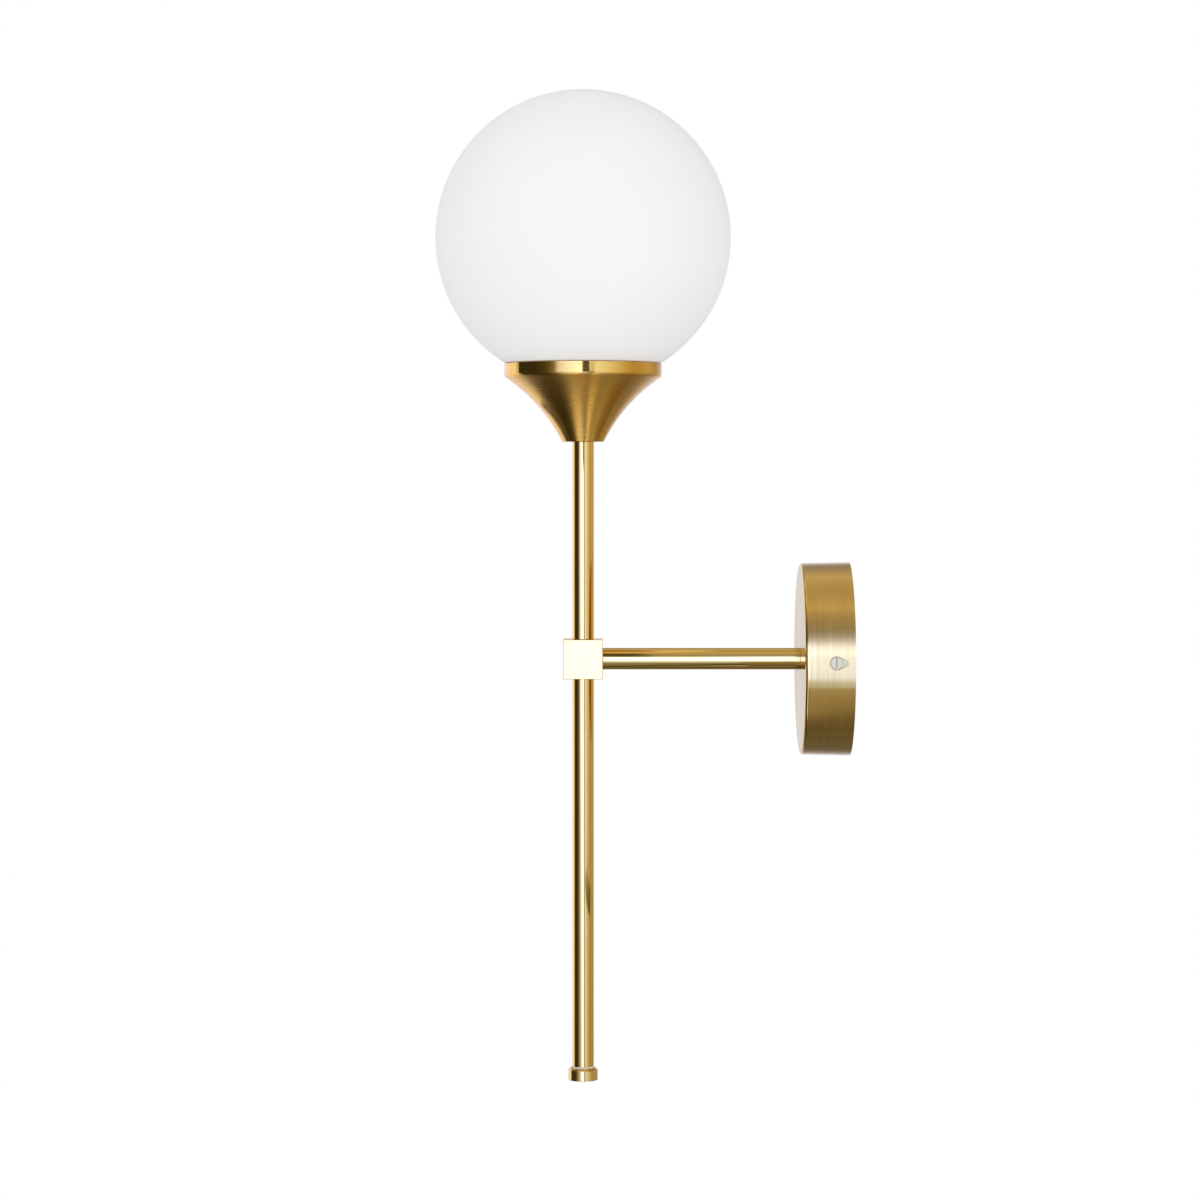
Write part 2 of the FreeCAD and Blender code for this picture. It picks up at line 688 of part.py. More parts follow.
def lead(points, radii):
    """Round lead along straight runs joined by tangent arcs, one radius for each inner point."""
    edges = []
    start = points[0]
    for before, corner, after, radius in zip(points, points[1:], points[2:], radii):
        arriving = (corner - before).normalize()
        leaving = (after - corner).normalize()
        half_turn = arriving.getAngle(leaving) / 2
        trim = radius * math.tan(half_turn)
        inward = (leaving - arriving).normalize()
        arc_start = corner - arriving * trim
        arc_middle = corner + inward * (radius / math.cos(half_turn) - radius)
        arc_end = corner + leaving * trim
        edges.append(Part.LineSegment(start, arc_start).toShape())
        edges.append(Part.Arc(arc_start, arc_middle, arc_end).toShape())
        start = arc_end
    edges.append(Part.LineSegment(start, points[-1]).toShape())
    path = Part.Wire(edges)
    section = Part.Circle(points[0], points[1] - points[0], lead_diameter / 2).toShape()
    solid = path.makePipeShell([Part.Wire(section)], True, False)
    expected = math.pi * lead_diameter ** 2 / 4 * path.Length
    sizes = (path.Length, solid.Volume, expected, radii)
    print("lead length %.1f mm, volume %.1f of %.1f mm3, radii %s" % sizes)
    return solid


def supply_lead(pole, side):
    """Lead from the terminal block through the arm, the cube and the upper tube to the lampholder."""
    x = side * lead_spacing / 2
    contact_x = side * pin_spacing / 2
    fan_z = holder_z + holder_web
    contact_z = holder_z + holder_recess_height + holder_web + glass_clearance
    points = [
        pole + DOWN * lead_end_in_block,
        pole + UP * lead_fan_start,
        Vector(x, pole_y, 0),
        Vector(x, stem_y, 0),
        on_stem(fan_z, x),
        on_stem(contact_z - lead_last_run, contact_x),
        on_stem(contact_z, contact_x),
    ]
    radii = [lead_fan_radius, lead_turn_radius, lead_turn_radius, lead_holder_radius, lead_holder_radius]
    return lead(points, radii)


def earth_lead():
    barrel_y = block_face_y - lug_barrel_diameter / 2
    pole = pole_places()[2]
    points = [
        pole + DOWN * lead_end_in_block,
        Vector(pole.x, pole_y, earth_loop_height),
        Vector(earth_screw_x, barrel_y, earth_loop_height),
        Vector(earth_screw_x, barrel_y, earth_screw_z + lug_barrel_start + thread_clearance),
    ]
    return lead(points, [earth_loop_radius, earth_loop_radius])


def build():
    """Every piece of the lamp by the name of its node."""
    inner_face = canopy_depth - canopy_wall
    cup_washer_z = foot_z + cup_floor
    poles = pole_places()
    rear = Vector(0, stem_y + cube_side / 2, 0)
    back = Vector(0, 1, 0)
    engaged = nipple_in_cube + nipple_in_tube
    half = cube_side / 2
    canopy_nipple_length = canopy_depth + nipple_in_tube - canopy_nipple_end
    return {
        "globe_shade": globe_shade(),
        "globe_neck": globe_neck(),
        "shade_seal": shade_seal(),
        "shade_carrier": shade_carrier(),
        "lamp_cup": lamp_cup(),
        "cup_nipple": nipple(cup_nipple_top - foot_z + nipple_in_tube, on_stem(foot_z - nipple_in_tube),
                             UP),
        "cup_washer": ring(washer_diameter / 2, clear_radius, washer_height, on_stem(cup_washer_z)),
        "cup_nut": hex_nut(on_stem(cup_washer_z + washer_height), UP),
        "carrier_nuts": Part.Compound([hex_nut(on_stem(carrier_z), DOWN),
                                       hex_nut(on_stem(strap_z + strap_thickness), UP)]),
        "cup_bush": wire_bush(on_stem(cup_nipple_top), DOWN),
        "lampholder_strap": lampholder_strap(),
        "lampholder_body": lampholder_body(),
        "lampholder_contacts": lampholder_contacts(),
        "lampholder_screws": lampholder_screws(),
        "bulb_base": bulb_base(),
        "bulb_envelope": bulb_envelope(),
        "bulb_core": bulb_core(),
        "bulb_pins": bulb_pins(),
        "upper_tube": tube(upper_tube_length, on_stem(half), UP),
        "lower_tube": tube(lower_tube_length, on_stem(-half), DOWN),
        "arm_tube": tube(arm_length, rear, back),
        "junction_cube": junction_cube(),
        "upper_nipple": nipple(engaged, on_stem(half - nipple_in_cube), UP),
        "lower_nipple": nipple(engaged, on_stem(nipple_in_cube - half), DOWN),
        "arm_nipple": nipple(engaged, rear - back * nipple_in_cube, back),
        "finial_cap": finial_cap(),
        "finial_ring": finial_ring(),
        "finial_nipple": nipple(nipple_in_tube + lower_end_z - finial_bottom - finial_floor,
                                on_stem(finial_bottom + finial_floor), UP),
        "canopy": canopy(),
        "canopy_nipple": nipple(canopy_nipple_length, Vector(0, -canopy_nipple_end, 0), OUT),
        "canopy_washer": ring(washer_diameter / 2, clear_radius, washer_height, OUT * inner_face, back),
        "canopy_nut": hex_nut(OUT * (inner_face - washer_height), back),
        "canopy_bush": wire_bush(OUT * canopy_nipple_end, OUT),
        "canopy_screws": canopy_screws(),
        "wall_bracket": wall_bracket(),
        "terminal_block": terminal_block(),
        "terminal_barrels": terminal_barrels(),
        "terminal_screws": terminal_screws(),
        "terminal_fixing_screws": terminal_fixing_screws(),
        "earth_screw": earth_screw(),
        "earth_lug": earth_lug(),
        "neutral_lead": supply_lead(poles[0], -1),
        "live_lead": supply_lead(poles[1], 1),
        "earth_lead": earth_lead(),
    }


os.makedirs("parts", exist_ok=True)
for node, shape in build().items():
    shape.exportStep("parts/%s.step" % node)
    facts = (node, len(shape.Solids), shape.Volume, shape.isValid())
    print("%-24s %2d solids  %9.1f mm3  valid %s" % facts)
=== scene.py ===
import json
import math

import bmesh
import bpy
from mathutils import Matrix, Vector

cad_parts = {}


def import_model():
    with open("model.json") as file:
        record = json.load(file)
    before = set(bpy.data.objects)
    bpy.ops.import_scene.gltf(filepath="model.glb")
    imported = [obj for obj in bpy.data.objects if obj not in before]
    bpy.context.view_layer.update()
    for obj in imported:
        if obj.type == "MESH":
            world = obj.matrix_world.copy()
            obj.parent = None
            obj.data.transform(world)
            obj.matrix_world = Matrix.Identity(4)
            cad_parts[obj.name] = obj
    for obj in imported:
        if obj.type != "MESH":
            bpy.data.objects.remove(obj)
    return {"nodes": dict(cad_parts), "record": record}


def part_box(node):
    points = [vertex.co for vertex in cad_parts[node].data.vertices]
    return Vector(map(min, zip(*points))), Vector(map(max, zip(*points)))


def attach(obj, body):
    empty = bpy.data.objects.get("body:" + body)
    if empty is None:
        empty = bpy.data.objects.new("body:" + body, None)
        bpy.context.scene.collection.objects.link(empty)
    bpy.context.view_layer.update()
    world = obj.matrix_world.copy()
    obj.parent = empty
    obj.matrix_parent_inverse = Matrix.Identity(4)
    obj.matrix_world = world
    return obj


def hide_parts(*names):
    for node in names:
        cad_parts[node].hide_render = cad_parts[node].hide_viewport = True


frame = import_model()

# Globe wall sconce, in metres. The wall is the plane Y = 0, the lamp stands out of it towards -Y, and +Z is
# up. Places come from the frame; the sizes below are what the frame doesn't say.
MM = 0.001
UP = Vector((0, 0, 1))
INTO_WALL = Vector((0, 1, 0))
OUT_OF_WALL = Vector((0, -1, 0))
WALL_POINT = Vector((0, 0, 0))  # where the arm's axis meets the wall

# Sizes of the new pieces
GLASS_WALL = 2.5 * MM
NECK_RADIUS = 21.0 * MM
NECK_WALL = 2.5 * MM
CUP_BAND = 6.4 * MM
CUP_BAND_ROUND = 2.0 * MM
CUP_RIM_BEVEL = 0.5 * MM
CUP_WALL = 1.0 * MM
CUP_FLOOR = 1.4 * MM
CUP_FOOT_RADIUS = 10.6 * MM
CUP_FLARE_RADIUS = 85.0 * MM
TUBE_BORE_RADIUS = 4.05 * MM
NIPPLE_HOLE_RADIUS = 4.15 * MM
THREAD_RADIUS = 4.0 * MM
CUBE_BEVEL = 0.3 * MM
KNOB_BEVEL = 1.0 * MM
KNOB_RECESS = 0.8 * MM
KNOB_FLOOR = 1.5 * MM
RING_PLAY = 0.6 * MM
CANOPY_FRONT_LESS = 0.5 * MM   # how much smaller the canopy's front radius is than its rear one
CANOPY_WALL = 1.2 * MM
CANOPY_ROUND = 1.8 * MM
KEYHOLE_RADIUS = 3.5 * MM
TAIL_RADIUS = 1.9 * MM
TAIL_REACH = 4.0 * MM
KEYHOLE_CUT = 20.0 * MM        # depth of the prism that cuts a keyhole
SIDE_SCREW_HEAD_RADIUS = 2.95 * MM
SIDE_SCREW_HEAD = 2.2 * MM
SIDE_SCREW_RADIUS = 2.0 * MM
SIDE_SCREW_SHANK = 6.0 * MM
SLOT_WIDTH = 0.7 * MM
SLOT_DEPTH = 0.9 * MM
NIPPLE_BORE_RADIUS = 2.75 * MM
THREAD_PITCH = 1.0 * MM
THREAD_DEPTH = 0.4 * MM
THREAD_CREST = (0.42, 0.58)    # where a thread's crest starts and ends, as shares of the pitch
CORE_LESS = 0.6 * MM           # how far the bulb's core lies below its light chips
CHIP_SIZE = Vector((0.6, 2.0, 3.0)) * MM
CHIP_ROWS = 6
CHIPS_ROUND = 6

# How much the edges of the new pieces are eased
GLASS_EASE = 0.8 * MM
THIN_EASE = 0.15 * MM
TUBE_EASE = 0.2 * MM
KNOB_EASE = 0.3 * MM
SCREW_EASE = 0.25 * MM
CORE_EASE = 0.5 * MM
CHIP_EASE = 0.12 * MM

# How finely round pieces are divided
ROUND_STEPS = 128
CANOPY_STEPS = 192
SMALL_STEPS = 64
BALL_STEPS = 72
BALL_INNER_STEPS = 60
FLARE_STEPS = 40
CORNER_STEPS = 10
INNER_CORNER_STEPS = 6
KEYHOLE_STEPS = 28
TAIL_STEPS = 14
MERGE = 0.001 * MM
SHARP_ANGLE = math.radians(32)

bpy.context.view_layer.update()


# ---- places taken from the frame
def middle(node):
    low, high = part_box(node)
    return (low + high) / 2


GLOBE_LOW, GLOBE_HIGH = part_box("globe_shade")
CUP_LOW, CUP_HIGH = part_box("lamp_cup")
STEM = Vector((0, middle("globe_shade").y, 0))
TUBE_LOW, TUBE_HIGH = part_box("upper_tube")
TUBE_RADIUS = (TUBE_HIGH - TUBE_LOW).x / 2


# ---- modelling helpers
def line_to(bm, last, radius, height):
    """Adds a straight piece of an outline in the XZ plane."""
    point = bm.verts.new((radius, 0, height))
    bm.edges.new((last, point))
    return point


def arc_to(bm, last, centre_radius, centre_height, degrees, steps):
    """Swings the outline's last point about a centre, anticlockwise with X to the right and Z up."""
    swept = bmesh.ops.spin(bm, geom=[last], cent=(centre_radius, 0, centre_height), axis=(0, -1, 0),
                           angle=math.radians(degrees), steps=steps, use_duplicate=False)
    return [item for item in swept["geom_last"] if isinstance(item, bmesh.types.BMVert)][0]


def outline(bm, points):
    """Open outline through (radius, height) points. Gives its first and last vertex."""
    first = bm.verts.new((points[0][0], 0, points[0][1]))
    last = first
    for radius, height in points[1:]:
        last = line_to(bm, last, radius, height)
    return first, last


def close(bm, last, first):
    bm.edges.new((last, first))


def turn(bm, steps=ROUND_STEPS):
    """Spins the outline into a closed skin round the Z axis."""
    bmesh.ops.spin(bm, geom=bm.verts[:] + bm.edges[:], cent=(0, 0, 0), axis=(0, 0, 1),
                   angle=2 * math.pi, steps=steps, use_merge=True, use_duplicate=False)
    bmesh.ops.remove_doubles(bm, verts=bm.verts, dist=MERGE)
    bmesh.ops.recalc_face_normals(bm, faces=bm.faces)


def soften(bm, width, segments=2):
    """Rounds every sharp edge a little."""
    sharp = [edge for edge in bm.edges if edge.is_manifold and edge.calc_face_angle() > SHARP_ANGLE]
    bmesh.ops.bevel(bm, geom=sharp, offset=width, offset_type="OFFSET", affect="EDGES", segments=segments,
                    profile=0.5, material=-1, clamp_overlap=True)


def turned_piece(points, steps=ROUND_STEPS):
    """Closed skin turned from a closed outline of (radius, height) points."""
    bm = bmesh.new()
    first, last = outline(bm, points)
    if points[0][0] or points[-1][0]:
        close(bm, last, first)
    turn(bm, steps)
    return bm


def block(low, high):
    """Closed box between two corners."""
    bm = bmesh.new()
    bmesh.ops.create_cube(bm, size=1)
    bmesh.ops.scale(bm, vec=high - low, verts=bm.verts)
    bmesh.ops.translate(bm, vec=(low + high) / 2, verts=bm.verts)
    return bm


def mesh_of(bm, name):
    """Turns a skin into a mesh and lets the skin go."""
    mesh = bpy.data.meshes.new(name)
    bm.to_mesh(mesh)
    bm.free()
    return mesh


def linked(name, data):
    """New object in the scene."""
    made = bpy.data.objects.new(name, data)
    bpy.context.scene.collection.objects.link(made)
    return made


def join(bm, other):
    """Adds the other skin to the first."""
    mesh = mesh_of(other, "joined")
    bm.from_mesh(mesh)
    bpy.data.meshes.remove(mesh)


def carve(bm, *cutters):
    """Cuts closed skins out of a closed skin. Gives what is left."""
    kept, *tools = [linked("temporary", mesh_of(skin, "temporary")) for skin in (bm, *cutters)]
    for tool in tools:
        cut = kept.modifiers.new("cut", "BOOLEAN")
        cut.operation = "DIFFERENCE"
        cut.solver = "EXACT"
        cut.object = tool
    left = bpy.data.meshes.new_from_object(kept.evaluated_get(bpy.context.evaluated_depsgraph_get()))
    result = bmesh.new()
    result.from_mesh(left)
    bpy.data.meshes.remove(left)
    for spent in [kept, *tools]:
        mesh = spent.data
        bpy.data.objects.remove(spent)
        bpy.data.meshes.remove(mesh)
    return result


def place(bm, origin, direction=UP):
    """Moves what was made round the Z axis on to another axis."""
    turned = UP.rotation_difference(direction).to_matrix().to_4x4()
    bmesh.ops.transform(bm, matrix=Matrix.Translation(origin) @ turned, verts=bm.verts)


def finish_piece(bm, name, body, slot, material, *nodes):
    """Makes the object, lets it ride on its body and hides the frame's nodes that it stands for."""
    bmesh.ops.remove_doubles(bm, verts=bm.verts, dist=MERGE)
    bmesh.ops.recalc_face_normals(bm, faces=bm.faces)
    mesh = mesh_of(bm, name)
    mesh.shade_smooth()
    mesh.set_sharp_from_angle(angle=SHARP_ANGLE)
    mesh.materials.append(material)
    made = linked(name, mesh)
    even = made.modifiers.new("even shading", "WEIGHTED_NORMAL")
    even.keep_sharp = True
    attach(made, body)
    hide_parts(*nodes)
    return made


# ---- shader helpers
LINE_DETAIL = 2.0
GRAIN_DETAIL = 4.0
GRAIN_RANGE = (0.3, 0.7)       # values of a noise between which a finish changes
SMUDGE_SCALE = 22.0
STREAK_SHARE = 0.6             # of streaks in a lined metal's tone; the rest is smudges
BRUSHED_TURN = 0.25            # of a turn between the highlights and the brushing
COAT_ROUGHNESS = 0.08
COAT_IOR = 1.7


def add(tree, kind, **settings):
    node = tree.nodes.new(kind)
    for key, value in settings.items():
        setattr(node, key, value)
    return node


def math_node(tree, operation, first, second=None):
    """Math node fed by sockets or plain numbers. Gives its output socket."""
    node = add(tree, "ShaderNodeMath", operation=operation)
    for index, value in enumerate((first, second)):
        if value is None:
            continue
        if isinstance(value, (int, float)):
            node.inputs[index].default_value = value
        else:
            tree.links.new(value, node.inputs[index])
    return node.outputs[0]


def times(tree, first, second):
    return math_node(tree, "MULTIPLY", first, second)


def plus(tree, first, second):
    return math_node(tree, "ADD", first, second)


def minus(tree, first, second):
    return math_node(tree, "SUBTRACT", first, second)


def length_of(tree, x, y):
    """Length of the flat vector (x, y)."""
    return math_node(tree, "SQRT", plus(tree, times(tree, x, x), times(tree, y, y)))


def new_group(name, inputs, outputs):
    tree = bpy.data.node_groups.new(name, "ShaderNodeTree")
    for label, kind, value in inputs:
        made = tree.interface.new_socket(name=label, in_out="INPUT", socket_type=kind)
        if value is not None:
            made.default_value = value
    for label, kind in outputs:
        tree.interface.new_socket(name=label, in_out="OUTPUT", socket_type=kind)
    return tree, tree.nodes.new("NodeGroupInput").outputs, tree.nodes.new("NodeGroupOutput").inputs


def lines_group(name, density_name, density):
    """Node group for fine lines. Gives its tree, inputs, outputs and the vector's three parts."""
    tree, given, out = new_group(name, [("Vector", "NodeSocketVector", None),
                                        (density_name, "NodeSocketFloat", density)],
                                 [("Lines", "NodeSocketFloat"), ("Streaks", "NodeSocketFloat")])
    parts = add(tree, "ShaderNodeSeparateXYZ")
    tree.links.new(given["Vector"], parts.inputs[0])
    return tree, given, out, parts.outputs


def stretched_noise(tree, across, along, across_share, along_share, output):
    """Noise that is drawn out along the lines."""
    place_on = add(tree, "ShaderNodeCombineXYZ")
    tree.links.new(times(tree, across, across_share), place_on.inputs[0])
    tree.links.new(times(tree, along, along_share), place_on.inputs[1])
    made = add(tree, "ShaderNodeTexNoise", noise_dimensions="2D")
    made.inputs["Scale"].default_value = 1.0
    made.inputs["Detail"].default_value = LINE_DETAIL
    tree.links.new(place_on.outputs[0], made.inputs["Vector"])
    tree.links.new(made.outputs["Fac"], output)


def lathe_lines_group():
    """Fine lines left round an axis (local Z) by brushing on a lathe."""
    tree, given, out, (x, y, z) = lines_group("lathe_lines", "Lines per mm", 4.0)
    across = plus(tree, z, length_of(tree, x, y))
    around = math_node(tree, "ARCTAN2", y, x)
    density = times(tree, given["Lines per mm"], 1 / MM)
    fine = times(tree, across, density)
    stretched_noise(tree, fine, around, 1.0, 1.5, out["Lines"])
    stretched_noise(tree, fine, around, 0.12, 1.0, out["Streaks"])
    return tree


def drawn_lines_group():
    """Fine lines along an axis (local Z), as on drawn and polished tube."""
    tree, given, out, (x, y, z) = lines_group("drawn_lines", "Lines per turn", 90.0)
    around = math_node(tree, "ARCTAN2", y, x)
    turns = times(tree, around, given["Lines per turn"])
    stretched_noise(tree, turns, z, 1.0, 18.0, out["Lines"])
    stretched_noise(tree, turns, z, 0.08, 35.0, out["Streaks"])
    return tree


LATHE_LINES = lathe_lines_group()
DRAWN_LINES = drawn_lines_group()


def coordinates_from(tree, origin):
    """Object coordinates with their zero at origin."""
    coordinates = add(tree, "ShaderNodeTexCoord")
    moved = add(tree, "ShaderNodeVectorMath", operation="SUBTRACT")
    moved.inputs[1].default_value = origin
    tree.links.new(coordinates.outputs["Object"], moved.inputs[0])
    return moved.outputs[0]


def object_coordinates(tree, origin=WALL_POINT, turn_x=0.0):
    """Object coordinates from origin, turned about X so that the piece's axis is local Z."""
    mapping = add(tree, "ShaderNodeMapping")
    mapping.inputs["Rotation"].default_value = (turn_x, 0, 0)
    tree.links.new(coordinates_from(tree, origin), mapping.inputs["Vector"])
    return mapping.outputs[0]


def new_material(name):
    material = bpy.data.materials.new(name)
    material.use_nodes = True
    tree = material.node_tree
    return material, tree, tree.nodes["Principled BSDF"]


def noise(tree, vector, scale):
    made = add(tree, "ShaderNodeTexNoise")
    made.inputs["Scale"].default_value = scale
    made.inputs["Detail"].default_value = GRAIN_DETAIL
    tree.links.new(vector, made.inputs["Vector"])
    return made.outputs["Fac"]


def spread(tree, value, low, high, from_low=0.0, from_high=1.0):
    """Maps from_low to low and from_high to high, and keeps what lies outside at the ends."""
    made = add(tree, "ShaderNodeMapRange")
    for index, number in enumerate((from_low, from_high, low, high), 1):
        made.inputs[index].default_value = number
    tree.links.new(value, made.inputs[0])
    return made.outputs[0]


def mix_colours(tree, factor, first, second):
    """Mix of two colours; inputs 6 and 7 and output 2 of the node are its colours."""
    made = add(tree, "ShaderNodeMix", data_type="RGBA")
    made.inputs[6].default_value = (*first, 1)
    made.inputs[7].default_value = (*second, 1)
    tree.links.new(factor, made.inputs[0])
    return made.outputs[2]


def bump(tree, height, shader, strength, distance):
    made = add(tree, "ShaderNodeBump")
    made.inputs["Strength"].default_value = strength
    made.inputs["Distance"].default_value = distance
    tree.links.new(height, made.inputs["Height"])
    tree.links.new(made.outputs[0], shader.inputs["Normal"])


def around_axis(tree, origin, turn_x):
    """Direction round the piece's own axis, for brushing that runs round it."""
    crossed = add(tree, "ShaderNodeVectorMath", operation="CROSS_PRODUCT")
    crossed.inputs[0].default_value = Vector((0, math.sin(turn_x), math.cos(turn_x)))
    tree.links.new(coordinates_from(tree, origin), crossed.inputs[1])
    return crossed.outputs[0]


def lined_metal(name, lines, origin, turn_x, light, deep, rough, line_depth, coat=0.0, brushed=0.0,
                polished=None):
    """Metal with fine lines: lines is one of the two line groups, rough its least and greatest roughness.

    polished gives two places along the axis, from where polishing starts to where it is full."""
    material, tree, shader = new_material(name)
    vector = object_coordinates(tree, origin, turn_x)
    group = add(tree, "ShaderNodeGroup", node_tree=lines)
    tree.links.new(vector, group.inputs["Vector"])
    smudges = noise(tree, vector, SMUDGE_SCALE)
    tone = plus(tree, times(tree, group.outputs["Streaks"], STREAK_SHARE),
                times(tree, smudges, 1 - STREAK_SHARE))
    tree.links.new(mix_colours(tree, spread(tree, tone, 0, 1, *GRAIN_RANGE), light, deep),
                   shader.inputs["Base Color"])
    grain = plus(tree, times(tree, group.outputs["Lines"], 0.5), times(tree, group.outputs["Streaks"], 0.5))
    roughness = spread(tree, grain, *rough, *GRAIN_RANGE)
    if polished:
        parts = add(tree, "ShaderNodeSeparateXYZ")
        tree.links.new(vector, parts.inputs[0])
        share = spread(tree, parts.outputs[2], 1.0, POLISHED_SHARE, *polished)
        roughness = times(tree, roughness, share)
    tree.links.new(roughness, shader.inputs["Roughness"])
    bump(tree, grain, shader, 1.0, line_depth)
    shader.inputs["Metallic"].default_value = 1.0
    shader.inputs["Coat Weight"].default_value = coat
    shader.inputs["Coat Roughness"].default_value = COAT_ROUGHNESS
    shader.inputs["Coat IOR"].default_value = COAT_IOR
    if brushed:
        shader.inputs["Anisotropic"].default_value = brushed
        shader.inputs["Anisotropic Rotation"].default_value = BRUSHED_TURN
        tree.links.new(around_axis(tree, origin, turn_x), shader.inputs["Tangent"])
    return material


def plain_finish(name, light, deep, rough, scale, metallic=0.0, gloss=0.5, clear=0.0):
    """Plain material with a little variation in tone and roughness."""
    material, tree, shader = new_material(name)
    vector = object_coordinates(tree)
    grain = noise(tree, vector, scale)
    tree.links.new(mix_colours(tree, spread(tree, grain, 0, 1, *GRAIN_RANGE), light, deep),
                   shader.inputs["Base Color"])
    tree.links.new(spread(tree, grain, *rough, *GRAIN_RANGE), shader.inputs["Roughness"])
    shader.inputs["Metallic"].default_value = metallic
    shader.inputs["Specular IOR Level"].default_value = gloss
    shader.inputs["Transmission Weight"].default_value = clear
    return material


# ---- materials
# Each brass has its light and its deep tone
CUP_BRASS = ((0.94, 0.505, 0.078), (0.84, 0.42, 0.058))
CANOPY_BRASS = ((0.90, 0.54, 0.13), (0.81, 0.465, 0.10))
BRIGHT_BRASS = ((0.91, 0.555, 0.125), (0.87, 0.52, 0.11))
STEM_BRASS = ((0.91, 0.525, 0.11), (0.87, 0.49, 0.095))
QUARTER = math.pi / 2
FINE = 0.004 * MM              # depth of fine lines
POLISHED_SHARE = 0.4          # of the brushed roughness that is left where a piece is polished
CUP_POLISH = (CUP_HIGH.z - CUP_BAND + 0.2 * MM, CUP_HIGH.z - CUP_BAND + 1.4 * MM)
CANOPY_POLISH = (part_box("canopy")[0].y + 2.6 * MM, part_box("canopy")[0].y + 1.8 * MM)

cup_brass = lined_metal("brushed_brass_cup", LATHE_LINES, STEM, 0.0, *CUP_BRASS, (0.25, 0.34),
                        2.2 * FINE, 0.0, 1.0, CUP_POLISH)
canopy_brass = lined_metal("brushed_brass_canopy", LATHE_LINES, WALL_POINT, QUARTER, *CANOPY_BRASS,
                           (0.16, 0.22), FINE, 0.2, 1.0, CANOPY_POLISH)
stem_brass = lined_metal("polished_brass_stem", DRAWN_LINES, STEM, 0.0, *STEM_BRASS, (0.06, 0.12),
                         0.2 * FINE, 0.1)
arm_brass = lined_metal("polished_brass_arm", DRAWN_LINES, WALL_POINT, QUARTER, *BRIGHT_BRASS,
                        (0.06, 0.12), 0.2 * FINE, 0.1)
cube_brass = lined_metal("satin_brass_cube", DRAWN_LINES, STEM, 0.0, *BRIGHT_BRASS, (0.14, 0.22),
                         0.5 * FINE, 0.1)
knob_brass = lined_metal("turned_brass_knob", LATHE_LINES, STEM, 0.0, *BRIGHT_BRASS, (0.10, 0.16),
                         0.4 * FINE, 0.1)
opal = plain_finish("opal_glass", (0.93, 0.93, 0.925), (0.915, 0.915, 0.91), (0.5, 0.56), 14.0, gloss=0.03)
zinc = plain_finish("yellow_zinc_plated_steel", (0.80, 0.55, 0.16), (0.72, 0.48, 0.14), (0.30, 0.42), 900.0,
                    1.0)
nickel = plain_finish("nickel_plate", (0.82, 0.76, 0.58), (0.74, 0.69, 0.53), (0.14, 0.22), 200.0, 1.0)
screw_plate = plain_finish("satin_plated_screw", (0.72, 0.69, 0.61), (0.62, 0.60, 0.54), (0.26, 0.36), 300.0,
                           gloss=0.15)
ring_plate = plain_finish("satin_silver_ring", (0.86, 0.83, 0.75), (0.80, 0.77, 0.70), (0.22, 0.32), 300.0,
                          gloss=0.15)
aluminium = plain_finish("turned_aluminium", (0.80, 0.80, 0.81), (0.70, 0.70, 0.71), (0.25, 0.35), 400.0, 1.0)
white_plastic = plain_finish("white_plastic", (0.84, 0.84, 0.82), (0.80, 0.80, 0.78), (0.38, 0.46), 500.0)
ceramic = plain_finish("steatite_ceramic", (0.86, 0.85, 0.81), (0.80, 0.79, 0.75), (0.30, 0.5), 350.0)
silicone = plain_finish("silicone", (0.75, 0.76, 0.75), (0.68, 0.69, 0.68), (0.5, 0.6), 400.0)
terminal_brass = plain_finish("machined_brass", (0.75, 0.60, 0.32), (0.66, 0.52, 0.26), (0.2, 0.3), 500.0,
                              1.0)
led_core = plain_finish("phosphor_chips", (0.88, 0.62, 0.10), (0.84, 0.57, 0.08), (0.5, 0.6), 400.0)
brown = plain_finish("brown_silicone", (0.10, 0.045, 0.02), (0.08, 0.035, 0.015), (0.45, 0.55), 500.0)
blue = plain_finish("blue_silicone", (0.02, 0.09, 0.32), (0.015, 0.07, 0.27), (0.45, 0.55), 500.0)
green = plain_finish("green_silicone", (0.04, 0.22, 0.05), (0.75, 0.65, 0.05), (0.45, 0.55), 60.0)
bulb_glass = plain_finish("clear_bulb_glass", (0.98, 0.98, 0.97), (0.96, 0.96, 0.95), (0.02, 0.05), 200.0,
                          clear=1.0)
core_white = plain_finish("white_core_board", (0.86, 0.86, 0.84), (0.82, 0.82, 0.80), (0.4, 0.5), 400.0)

SLOT_FINISH = {
    "opal_glass": opal, "silicone": silicone, "aluminium": aluminium, "brushed_brass": cup_brass,
    "polished_brass": stem_brass, "zinc_steel": zinc, "nickel": nickel, "white_plastic": white_plastic,
    "ceramic": ceramic, "bulb_glass": bulb_glass, "led_yellow": led_core, "terminal_brass": terminal_brass,
    "brown_insulation": brown, "blue_insulation": blue, "green_insulation": green,
}


def dress_frame():
    """Gives every node of the frame its finish."""
    for subpart in frame["record"]["subparts"]:
        node = frame["nodes"][subpart["node"]]
        node.data.materials.clear()
        node.data.materials.append(SLOT_FINISH[subpart["material_slot"]])


